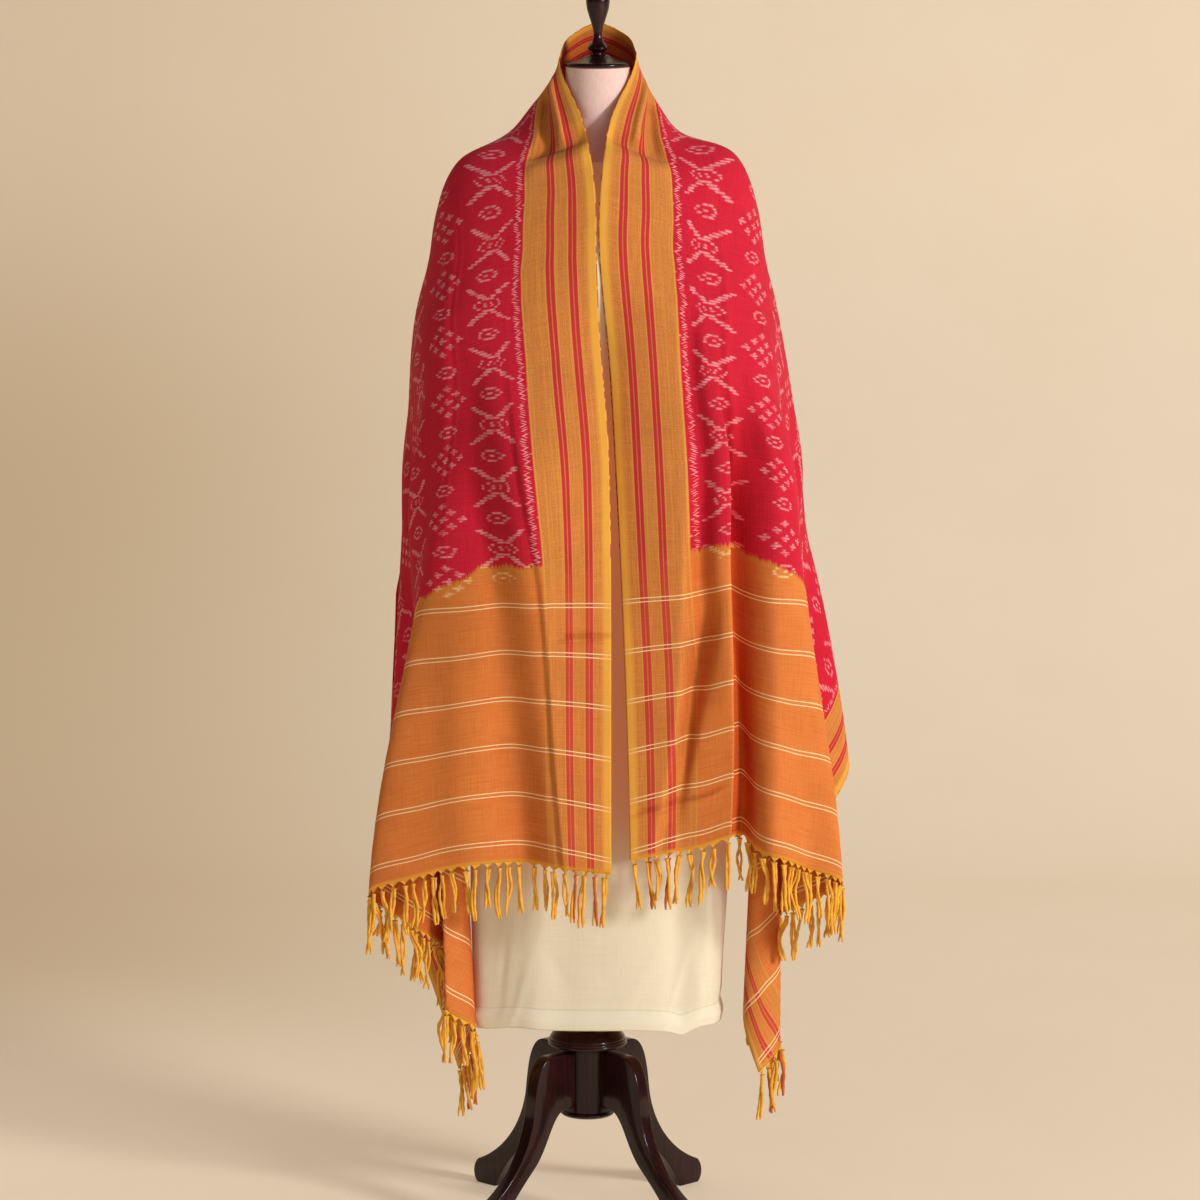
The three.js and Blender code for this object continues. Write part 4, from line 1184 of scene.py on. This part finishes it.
# Rows of the torso in millimetres: height, half width, half depth and middle.
TORSO_ROWS = np.array([
    (800, 165, 96, 0),
    (860, 169, 99, 0),
    (910, 166, 97, 0),
    (1000, 146, 90, 0),
    (1100, 134, 84, -2),
    (1220, 156, 100, -8),
    (1300, 172, 106, -9),
    (1380, 188, 107, -8),
    (1450, 194, 94, -1),
    (1490, 184, 72, 5),
    (1518, 169, 59, 8),
    (1535, 151, 50, 8),
    (1546, 123, 47, 8),
    (1556, 92, 46, 8),
    (1568, 56, 47, 6),
    (1596, 47, 47, 4),
    (1645, 45, 45, 2),
], dtype=float)
TORSO_SIDES = 96
TORSO_RINGS = 150
# What a row is multiplied by to close the torso's end almost to a point.
CLOSED_ROW = [1, 0.01, 0.01, 1]


def smooth_rows(rows, heights):
    """Rows between the rows: a cubic through them whose slopes are those of their neighbours' chords."""
    slopes = np.gradient(rows, rows[:, 0], axis=0)
    index = np.clip(np.searchsorted(rows[:, 0], heights, side="right") - 1, 0, len(rows) - 2)
    span = rows[index + 1, 0] - rows[index, 0]
    part = ((heights - rows[index, 0]) / span)[:, None]
    return cubic(rows[index], slopes[index], rows[index + 1], slopes[index + 1], span[:, None], part)


def ovals(rows, turn):
    """Points (rows, turns, 3) of ovals: half width by the cosine, half depth by the sine, in metres."""
    x = rows[:, 1:2] * np.cos(turn) * MM + FORM_AXIS.x
    y = (rows[:, 3:4] + rows[:, 2:3] * np.sin(turn)) * MM + FORM_AXIS.y
    z = np.broadcast_to(rows[:, :1] * MM, x.shape)
    return np.stack([x, y, z], axis=-1)


class DUPATTA_OT_torso(bpy.types.Operator):
    """Covers the torso in jersey: smooth ovals from the hips to the neck."""

    bl_idname = "dupatta.torso"
    bl_label = "Cover the torso"

    def execute(self, context):
        turn = np.arange(TORSO_SIDES) / TORSO_SIDES * TAU
        rows = smooth_rows(TORSO_ROWS, np.linspace(TORSO_ROWS[0, 0], TORSO_ROWS[-1, 0], TORSO_RINGS))
        skin = ovals(np.concatenate([rows[:1] * CLOSED_ROW, rows, rows[-1:] * CLOSED_ROW]), turn)
        piece = new_piece("padded_torso", skin.reshape(-1, 3),
                          grid_faces(TORSO_RINGS + 2, TORSO_SIDES, closed=True), ("torso",), 50)
        piece.data.materials.append(jersey_knit(context.scene.dupatta_form))
        return {"FINISHED"}


# The slip in millimetres.  Its skirt has rows of its own, from the hem up to the hips; above the hips it
# follows the torso's rows with a clearance, up to its top edge.
HEM = 283
HIPS = 830
SLIP_TOP = 1516
SLIP_CLEARANCE = 2.2
SLIP_SIDES = 240
SLIP_THICKNESS = 0.8
SKIRT_ROWS = np.array([
    (HEM, 177, 88, 0),
    (297, 176, 87, 0),
    (480, 176, 90, 0),
    (640, 175, 96, 0),
    (800, 173, 101, 0),
], dtype=float)
# How squared its section is below the hips: how much less than 1 the power of its sine and cosine is.
SQUARENESS = 0.3
# Waves of the skirt: how many round it, their start, their drift in each WAVE_DRIFT down it, and height.
SLIP_WAVES = [(9, 0.6, 0.4, 1.6), (16, 2, -0.7, 0.7), (5, 2.4, 0.3, 2.0)]
WAVE_DRIFT = 300
# Slanted pulls of the skirt: middle as (turn, height), slope in turn per mm, width in turn, reach, and how
# far they stand out.
SLIP_PULLS = [
    (4.16, 330, 0.0021, 0.05, 50, 1.3),
    (4.5, 372, -0.0028, 0.06, 40, -1.1),
    (4.9, 345, 0.003, 0.06, 40, 1.2),
    (5.3, 360, 0.0024, 0.05, 50, 1.6),
    (5.62, 345, -0.0014, 0.06, 50, -1.6),
    (3.95, 380, 0.001, 0.06, 60, -1.3),
]
# Rings that stand out round the turned-up hem, and how the skirt leans out on the right: middle, reach and
# how far.  On the left it leans out by the same all the way down.
HEM_ROLL = [(296, 9, 3.2), (316, 6, -2.2)]
RIGHT_LEAN = [(500, 110, 6.5), (HEM, 40, -3)]
LEFT_LEAN = 6.5
# The slack of the front right corner: its turn and how far it stands out.
SLACK_TURN = 5.62
SLACK = 7
# The hem's waves up and down: how many round it, their start and height; and its dip: turn, width, depth.
HEM_WAVES = [(3, 1, 2.2), (8, 0, 1.4)]
HEM_DIP = (5.35, 0.12, 6)
# Metres of cloth round the skirt as its threads are counted, and the slip laid flat.
SLIP_GIRTH = 0.86


def soft_rings(table, height):
    """How far a table of rings, each (middle, reach, how far), stands out at a height."""
    return sum(out * bump(height, middle, reach) for middle, reach, out in table)


def slip_folds(turn, height):
    """How far the slip stands out of its smooth rows, in millimetres: sines of the turn that drift with the
    height, slanted hills for the pulls, rings at the hem, a hill at the slack corner, and the lean of both
    its sides."""
    folds = sum(out * np.sin(turn * count + start + drift * height / WAVE_DRIFT)
                for count, start, drift, out in SLIP_WAVES) * ramp(height, 900, 420)
    for middle, level, slope, width, reach, out in SLIP_PULLS:
        slanted = turn - slope * (height - level)
        folds = folds + out * bump(slanted, middle, width) * bump(height, level, reach)
    slack = SLACK * bump(turn, SLACK_TURN, 0.2) * ramp(height, 640, 380) * ramp(height, HEM, 330)
    slack = slack - SLACK * bump(turn, SLACK_TURN, 0.3) * ramp(height, 330, HEM)
    slack = slack + ramp(np.cos(turn), 0.7, 1) * soft_rings(RIGHT_LEAN, height)
    slack = slack + LEFT_LEAN * ramp(-np.cos(turn), 0.7, 1)
    return folds + soft_rings(HEM_ROLL, height) + slack


def slip_points(turn, heights):
    """Points (heights, turns, 3) of the slip: smooth rows, squared below the hips, with its folds."""
    inside = (TORSO_ROWS[:, 0] > HIPS) & (TORSO_ROWS[:, 0] < SLIP_TOP + 40)
    snug = TORSO_ROWS[inside] + [0, SLIP_CLEARANCE, SLIP_CLEARANCE, 0]
    rows = smooth_rows(np.concatenate([SKIRT_ROWS, snug]), heights)
    height = rows[:, :1]
    power = -SQUARENESS * ramp(height, 900, 620)
    points = ovals(rows, turn)
    outward = np.stack([np.cos(turn), np.sin(turn), 0 * turn], axis=-1)
    for k, middle in ((0, FORM_AXIS.x), (1, rows[:, 3:4] * MM + FORM_AXIS.y)):
        points[..., k] = middle + (points[..., k] - middle) * np.abs(outward[:, k] + TINY) ** power
    points = points + outward[None] * (slip_folds(turn, height) * MM)[..., None]
    hem = sum(out * np.sin(turn * count + start) for count, start, out in HEM_WAVES)
    middle, width, depth = HEM_DIP
    points[..., 2] += (hem - depth * bump(turn, middle, width)) * ramp(height, 480, HEM) * MM
    return points, np.broadcast_to(height * MM, points.shape[:2])


class DUPATTA_OT_slip(bpy.types.Operator):
    """Sews the slip: close to the torso above the hips, and hanging free in soft folds below them."""

    bl_idname = "dupatta.slip"
    bl_label = "Sew the slip"

    def execute(self, context):
        turn = np.linspace(0, TAU, SLIP_SIDES + 1)[:-1]
        heights = np.concatenate([np.linspace(HEM, 300, 7), np.linspace(304, SLIP_TOP, 150)])
        points, height = slip_points(turn, heights)
        piece = new_piece("cotton_slip", points.reshape(-1, 3),
                          grid_faces(len(heights), SLIP_SIDES, closed=True), ("slip",))
        around = np.broadcast_to(turn / TAU * SLIP_GIRTH, height.shape)
        set_uv(piece, "cloth", around.ravel(), height.ravel())
        thicken(piece, SLIP_THICKNESS * MM)
        piece.data.materials.append(plain_cotton(context.scene.dupatta_form))
        return {"FINISHED"}


# ---------------------------------------------------------------------------------------------
# Turned wood
# ---------------------------------------------------------------------------------------------

TURNED_SIDES = 96
TURNED_SHARP = 35
LEAST_RADIUS = 0.00002


def turned(name, profile, axis, replaced):
    """A body turned about an upright axis: the profile of (radius, height) in metres carried round it."""
    profile = np.asarray(profile, dtype=float)
    turn = np.arange(TURNED_SIDES) / TURNED_SIDES * TAU
    radius = np.maximum(profile[:, :1], LEAST_RADIUS)
    x = axis.x + radius * np.cos(turn)
    y = axis.y + radius * np.sin(turn)
    z = np.broadcast_to(profile[:, 1:2], x.shape)
    points = np.stack([x, y, z], axis=-1)
    faces = grid_faces(len(profile), TURNED_SIDES, closed=True)
    return new_piece(name, points.reshape(-1, 3), faces, replaced, TURNED_SHARP)


# Share of each side that a rounded corner takes, and the points of its curve.
CORNER_CUT = 0.3
CORNER_STEPS = 5


def softened(corners):
    """A profile whose corners are rounded: each is cut back and replaced by a short curve."""
    corners = np.asarray(corners, dtype=float)
    out = [corners[:1]]
    t = np.linspace(0, 1, CORNER_STEPS)[:, None]
    for before, here, after in zip(corners[:-2], corners[1:-1], corners[2:]):
        start, end = here + (before - here) * CORNER_CUT, here + (after - here) * CORNER_CUT
        out.append(start * (1 - t) ** 2 + 2 * here * t * (1 - t) + end * t ** 2)
    out.append(corners[-1:])
    return np.concatenate(out)


# Profiles from the foot of each piece up, as [radius, rise] in millimetres.
CAP_PROFILE = [(0, 0.3), (44, 0.3), (46.5, 2.5), (46.5, 5), (44, 7), (34, 9), (22, 12.5), (15, 17),
               (12.6, 17), (12.4, 10.6), (0, 10.6)]
FINIAL_PROFILE = [(0, 0), (11.5, 0), (8.4, 5), (7.4, 9), (12.4, 12), (14.6, 15.5), (12.6, 19), (8.4, 23),
                  (6.2, 30), (6.0, 37), (8, 46), (12, 58), (15.6, 70), (16.8, 80), (16.8, 83), (15, 84.5),
                  (16.2, 86.5), (15.5, 94), (11, 101), (5, 105), (0, 106)]
BELL_PROFILE = [(0, 0), (53, 0), (57, 3), (57, 6), (55.4, 7.4), (56, 9), (53.6, 11), (54, 12.6), (50, 18),
                (46, 22), (42, 26.7), (0, 26.7)]
DISC_PROFILE = [(0, 0), (35, 0), (39.5, 4), (39.5, 6), (37, 8.7), (0, 8.7)]
COLUMN_RADIUS = 36


def lifted(profile, node):
    """A profile in metres, standing on the foot of a CAD node's box."""
    return [(radius * MM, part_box(node)[0][2] + rise * MM) for radius, rise in profile]


class DUPATTA_OT_turned(bpy.types.Operator):
    """Turns the neck cap, finial, bell collar, column and base disc, and varnishes them and the post."""

    bl_idname = "dupatta.turned"
    bl_label = "Turn the wood"

    def execute(self, context):
        varnish = polished_mahogany(context.scene.dupatta_form)
        pieces = [
            turned(name, softened(lifted(profile, node)), axis, (node,))
            for name, profile, axis, node in (("saucer_cap", CAP_PROFILE, FORM_AXIS, "neck_cap"),
                                              ("baluster_finial", FINIAL_PROFILE, FORM_AXIS, "finial"),
                                              ("grooved_bell", BELL_PROFILE, STAND_AXIS, "bell_collar"),
                                              ("foot_disc", DISC_PROFILE, STAND_AXIS, "base_disc"))
        ]
        low, high = (corner[2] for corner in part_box("column"))
        side = COLUMN_RADIUS * MM
        pieces.append(turned("barrel_column", [(0, low), (side, low), (side, high), (0, high)], STAND_AXIS,
                             ("column",)))
        for piece in pieces:
            piece.data.materials.append(varnish)
        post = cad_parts["post"]
        post.data.materials.clear()
        post.data.materials.append(varnish)
        return {"FINISHED"}


LEG_COUNT = 4
LEG_HALF = 10
LEG_CORNER = 1.8
LEG_NECK_BOTTOM = 157
LEG_NECK_TOP = 239
LEG_STEPS = 70
CURVE_STEPS = 24
# The leg's first points stand a little outside the column's face.
LEG_START = COLUMN_RADIUS + 0.3
# Cubic curves of a leg's hollow side and of its back, as [reach from the column's axis, height].
LEG_HOLLOW = [
    [(58, LEG_NECK_BOTTOM), (80, 151), (88, 108), (114, 83)],
    [(114, 83), (136, 62), (168, 34), (182, 0)],
]
LEG_BACK = [
    [(80, LEG_NECK_TOP), (112, LEG_NECK_TOP), (114, 180), (118, 155)],
    [(118, 155), (129, 96), (172, 54), (219, 35)],
    [(219, 35), (230, 26), (230, 6), (220, 0)],
]


def bezier(points):
    """Points of a cubic curve from its two ends and two handles."""
    t = np.linspace(0, 1, CURVE_STEPS)[:, None]
    a, b, c, d = np.asarray(points, dtype=float)
    return a * (1 - t) ** 3 + 3 * b * t * (1 - t) ** 2 + 3 * c * t ** 2 * (1 - t) + d * t ** 3


def leg_line(neck, curves):
    """One edge of a leg from the column at neck's height along its curves, in LEG_STEPS even steps."""
    points = np.concatenate([[(LEG_START, neck)], *[bezier(curve) for curve in curves]])
    length = np.concatenate([[0], np.cumsum(np.linalg.norm(np.diff(points, axis=0), axis=1))])
    wanted = np.linspace(0, length[-1], LEG_STEPS)
    return np.stack([np.interp(wanted, length, points[:, k]) for k in (0, 1)], axis=-1)


def plank_section(half_height, half_width, corner, steps=5):
    """Points (rows, sides, 2) of rectangles with round corners, counter-clockwise: quarter circles of the
    corner's radius, whose straight sides the next corner's first point closes."""
    quarter = np.linspace(0, TAU / 4, steps)
    out = []
    for k, (up, over) in enumerate(((1, 1), (-1, 1), (-1, -1), (1, -1))):
        turn = TAU / 4 * (1 - k) - quarter
        rise = up * (half_height - corner) + corner * np.sin(turn)
        reach = over * (half_width - corner) + corner * np.cos(turn)
        out.append(np.stack([rise, np.broadcast_to(reach, rise.shape)], axis=-1))
    return np.concatenate(out, axis=1)


def leg_points(angle):
    """Points (steps, sides, 3) of one leg: a plank section carried from the column to the foot.  At each
    step it reaches from the hollow side to the back."""
    lower, upper = leg_line(LEG_NECK_BOTTOM, LEG_HOLLOW), leg_line(LEG_NECK_TOP, LEG_BACK)
    middle, half = (lower + upper) / 2, np.linalg.norm(upper - lower, axis=1, keepdims=True) / 2
    section = plank_section(half, LEG_HALF, LEG_CORNER)
    plan = middle[:, None, :] + ((upper - lower) / (2 * half))[:, None, :] * section[..., :1]
    reach, height, wide = plan[..., 0], plan[..., 1], section[..., 1]
    x = reach * math.cos(angle) - wide * math.sin(angle)
    y = reach * math.sin(angle) + wide * math.cos(angle)
    return np.stack([x, y, np.maximum(height, 0)], axis=-1) * MM + [STAND_AXIS.x, STAND_AXIS.y, 0]


class DUPATTA_OT_legs(bpy.types.Operator):
    """Shapes the splayed legs: a rounded plank section carried down the S of each leg."""

    bl_idname = "dupatta.legs"
    bl_label = "Shape the legs"

    def execute(self, context):
        varnish = polished_mahogany(context.scene.dupatta_form)
        for k in range(LEG_COUNT):
            points = leg_points((k + 0.5) / LEG_COUNT * TAU)
            sides = points.shape[1]
            first, last = [np.repeat(points[end].mean(axis=0)[None, None], sides, axis=1) for end in (0, -1)]
            ends_closed = np.concatenate([first, points, last])
            piece = new_piece(f"scroll_leg_{k + 1}", ends_closed.reshape(-1, 3),
                              grid_faces(LEG_STEPS + 2, sides, closed=True)[:, ::-1],
                              (f"leg_{k + 1}",), 50)
            piece.data.materials.append(varnish)
        return {"FINISHED"}


# ---------------------------------------------------------------------------------------------
# Stage
# ---------------------------------------------------------------------------------------------

# How strongly the room lights things, shows in glossy ones and is seen.
ROOM_COLOUR = (1, 0.96, 0.9, 1)
ROOM_LIGHT = 0.26
ROOM_REFLECTION = 0.025
ROOM_SEEN = 0.64
# Painted light, a glow of the paper that stands in for light from the room: high up; and on the floor, from
# the right to the left, stronger on the left where it lifts the shadow of the form, with what it loses far
# off.
BACKDROP_GLOW = 0.13
FLOOR_GLOW = (0.21, 0.44)
FAR_LOSS = (-0.04, 0.22)
# The paper sweep in metres: half its width, where it starts to rise, the radius of its curve, and its top.
SWEEP_HALF = 9
SWEEP_RISES = 2.2
SWEEP_RADIUS = 1.2
SWEEP_TOP = 7
SWEEP_STEPS = 25
# Place and width of each lamp in metres; both look at the form's axis at the height LAMP_AIM.
LAMPS = {"key": ((4.9, -3.9, 2.6), 1.2), "fill": ((3.2, -6.6, 3.0), 2.4)}
LAMP_AIM = 1.0
CAMERA_ASIDE = 0.003


def sweep_mesh():
    """The floor and the backdrop in one sheet: level, then a quarter circle, then upright."""
    turn = np.linspace(0, TAU / 4, SWEEP_STEPS)
    curve = np.stack([SWEEP_RISES + SWEEP_RADIUS * np.sin(turn), SWEEP_RADIUS - SWEEP_RADIUS * np.cos(turn)],
                     axis=-1)
    profile = np.concatenate([[(-SWEEP_HALF, 0)], curve, [(SWEEP_RISES + SWEEP_RADIUS, SWEEP_TOP)]])
    sides = np.array([[-SWEEP_HALF, SWEEP_HALF]], dtype=float)
    points = np.stack(np.broadcast_arrays(sides, profile[:, :1], profile[:, 1:2]), axis=-1)
    mesh = bpy.data.meshes.new("backdrop")
    mesh.from_pydata(points.reshape(-1, 3).tolist(), [], grid_faces(len(profile), 2).tolist())
    mesh.shade_smooth()
    return mesh


def paper_backdrop(settings):
    """Warm paper, faintly mottled, with painted shade that turns it tan toward its left and far side, most of
    all low down, and a painted glow that stands in for light from the room.  Seen from behind it lets the
    view through, and to the camera its near floor, which lies right under the lamps, is plain."""
    material, tree = new_material("paper_backdrop")
    place = object_in_mm(tree)
    x, y, z = add(tree, "SeparateXYZ", place).node.outputs
    base = add(tree, MIX, add(tree, NOISE, place, None, 0.004, 2.0), dye("#EAD8BE"), rgba(settings.backdrop))
    aside = add(tree, RANGE, x, 300.0, -1300.0, 0.0, 1.0, **SOFT)
    rise = add(tree, RANGE, z, -500.0, 1000.0, 0.0, 1.0, **SOFT)
    upper = add(tree, RANGE, z, 1400.0, 500.0, 0.3, 1.0, **SOFT)
    far = add(tree, RANGE, y, 300.0, 1700.0, 0.0, 1.0, **SOFT)
    # Painted shade: the paper is darkened to tan on the left, on the wall and the far floor, most low down.
    painted_tan_shade = add(tree, TIMES, aside, add(tree, GREATER, rise, far), upper)
    base = add(tree, MIX, painted_tan_shade, base, dye("#CFB48C"))
    # Painted light: the glow is strongest on the floor at the left, where it lifts the form's shadow, and
    # less far off.
    loss = add(tree, TIMES, far, add(tree, RANGE, aside, 0.0, 1.0, *FAR_LOSS))
    floor_glow = add(tree, MINUS, add(tree, RANGE, aside, 0.0, 1.0, *FLOOR_GLOW), loss)
    glow = add(tree, RANGE, rise, 0.0, 1.0, floor_glow, BACKDROP_GLOW)
    seen = add(tree, "LightPath").node.outputs["Is Camera Ray"]
    near = add(tree, TIMES, add(tree, RANGE, y, -500.0, -1800.0, 0.0, 1.0, **SOFT), seen)
    behind = add(tree, "NewGeometry").node.outputs["Backfacing"]
    covers = ((near, add(tree, "Emission", dye("#DCC9AA"))), (behind, add(tree, "BsdfTransparent")))
    finish_material(tree, base, 0.95, glow=glow, covers=covers,
                    Specular_IOR_Level=0.1, Emission_Color=rgba(settings.backdrop))
    return material


def lit_room():
    """A warm even room, which glossy things mirror less and the camera sees brighter than it lights."""
    world = bpy.data.worlds.new("room")
    world.use_nodes = True
    tree = world.node_tree
    background = tree.nodes["Background"]
    background.inputs["Color"].default_value = ROOM_COLOUR
    rays = add(tree, "LightPath").node.outputs
    strength = add(tree, RANGE, rays["Is Glossy Ray"], 0.0, 1.0, ROOM_LIGHT, ROOM_REFLECTION)
    seen = add(tree, TIMES, rays["Is Camera Ray"], ROOM_SEEN - ROOM_LIGHT)
    tree.links.new(add(tree, PLUS, strength, seen), background.inputs["Strength"])
    return world


class DUPATTA_OT_stage(bpy.types.Operator):
    """Sets the plain pale floor and backdrop, the soft lamps, the world and the camera."""

    bl_idname = "dupatta.stage"
    bl_label = "Set the stage"

    def execute(self, context):
        scene = context.scene
        settings = scene.dupatta_stage
        backdrop = bpy.data.objects.new("backdrop", sweep_mesh())
        backdrop.data.materials.append(paper_backdrop(settings))
        scene.collection.objects.link(backdrop)
        for name, (place, width) in LAMPS.items():
            light = bpy.data.lights.new(name, "AREA")
            light.energy = getattr(settings, name)
            light.size = width
            lamp = bpy.data.objects.new(name, light)
            lamp.location = place
            aim = Vector((FORM_AXIS.x, FORM_AXIS.y, LAMP_AIM)) - Vector(place)
            lamp.rotation_euler = aim.to_track_quat("-Z", "Y").to_euler()
            scene.collection.objects.link(lamp)
        scene.world = lit_room()
        lens = bpy.data.cameras.new("camera")
        lens.lens = settings.lens
        lens.sensor_width = 36
        camera = bpy.data.objects.new("camera", lens)
        camera.location = (FORM_AXIS.x + CAMERA_ASIDE, FORM_AXIS.y - settings.distance, settings.height)
        camera.rotation_euler = (TAU / 4 - settings.pitch, 0, 0)
        scene.collection.objects.link(camera)
        scene.camera = camera
        scene.view_settings.view_transform = "Standard"
        return {"FINISHED"}


STEPS = (DUPATTA_OT_stage, DUPATTA_OT_torso, DUPATTA_OT_slip, DUPATTA_OT_turned, DUPATTA_OT_legs,
         DUPATTA_OT_tassels, DUPATTA_OT_cloth)


class DUPATTA_PT_panel(bpy.types.Panel):
    """Lists the steps and the settings in the 3D view's sidebar."""

    bl_idname = "DUPATTA_PT_panel"
    bl_label = "Patola dupatta"
    bl_space_type = "VIEW_3D"
    bl_region_type = "UI"
    bl_category = "Dupatta"

    def draw(self, context):
        for step in STEPS:
            self.layout.operator(step.bl_idname)
        for group in SETTINGS:
            for name in group.__annotations__:
                self.layout.prop(getattr(context.scene, SETTINGS[group]), name)


SETTINGS = {ClothSettings: "dupatta_cloth", FormSettings: "dupatta_form", StageSettings: "dupatta_stage"}


def register():
    for group, name in SETTINGS.items():
        bpy.utils.register_class(group)
        setattr(bpy.types.Scene, name, bpy.props.PointerProperty(type=group))
    for step in (*STEPS, DUPATTA_PT_panel):
        bpy.utils.register_class(step)


def unregister():
    for step in (*STEPS, DUPATTA_PT_panel):
        bpy.utils.unregister_class(step)
    for group, name in SETTINGS.items():
        delattr(bpy.types.Scene, name)
        bpy.utils.unregister_class(group)


def main():
    register()
    for step in STEPS:
        operators, name = step.bl_idname.split(".")
        getattr(getattr(bpy.ops, operators), name)()


if __name__ == "__main__":
    main()
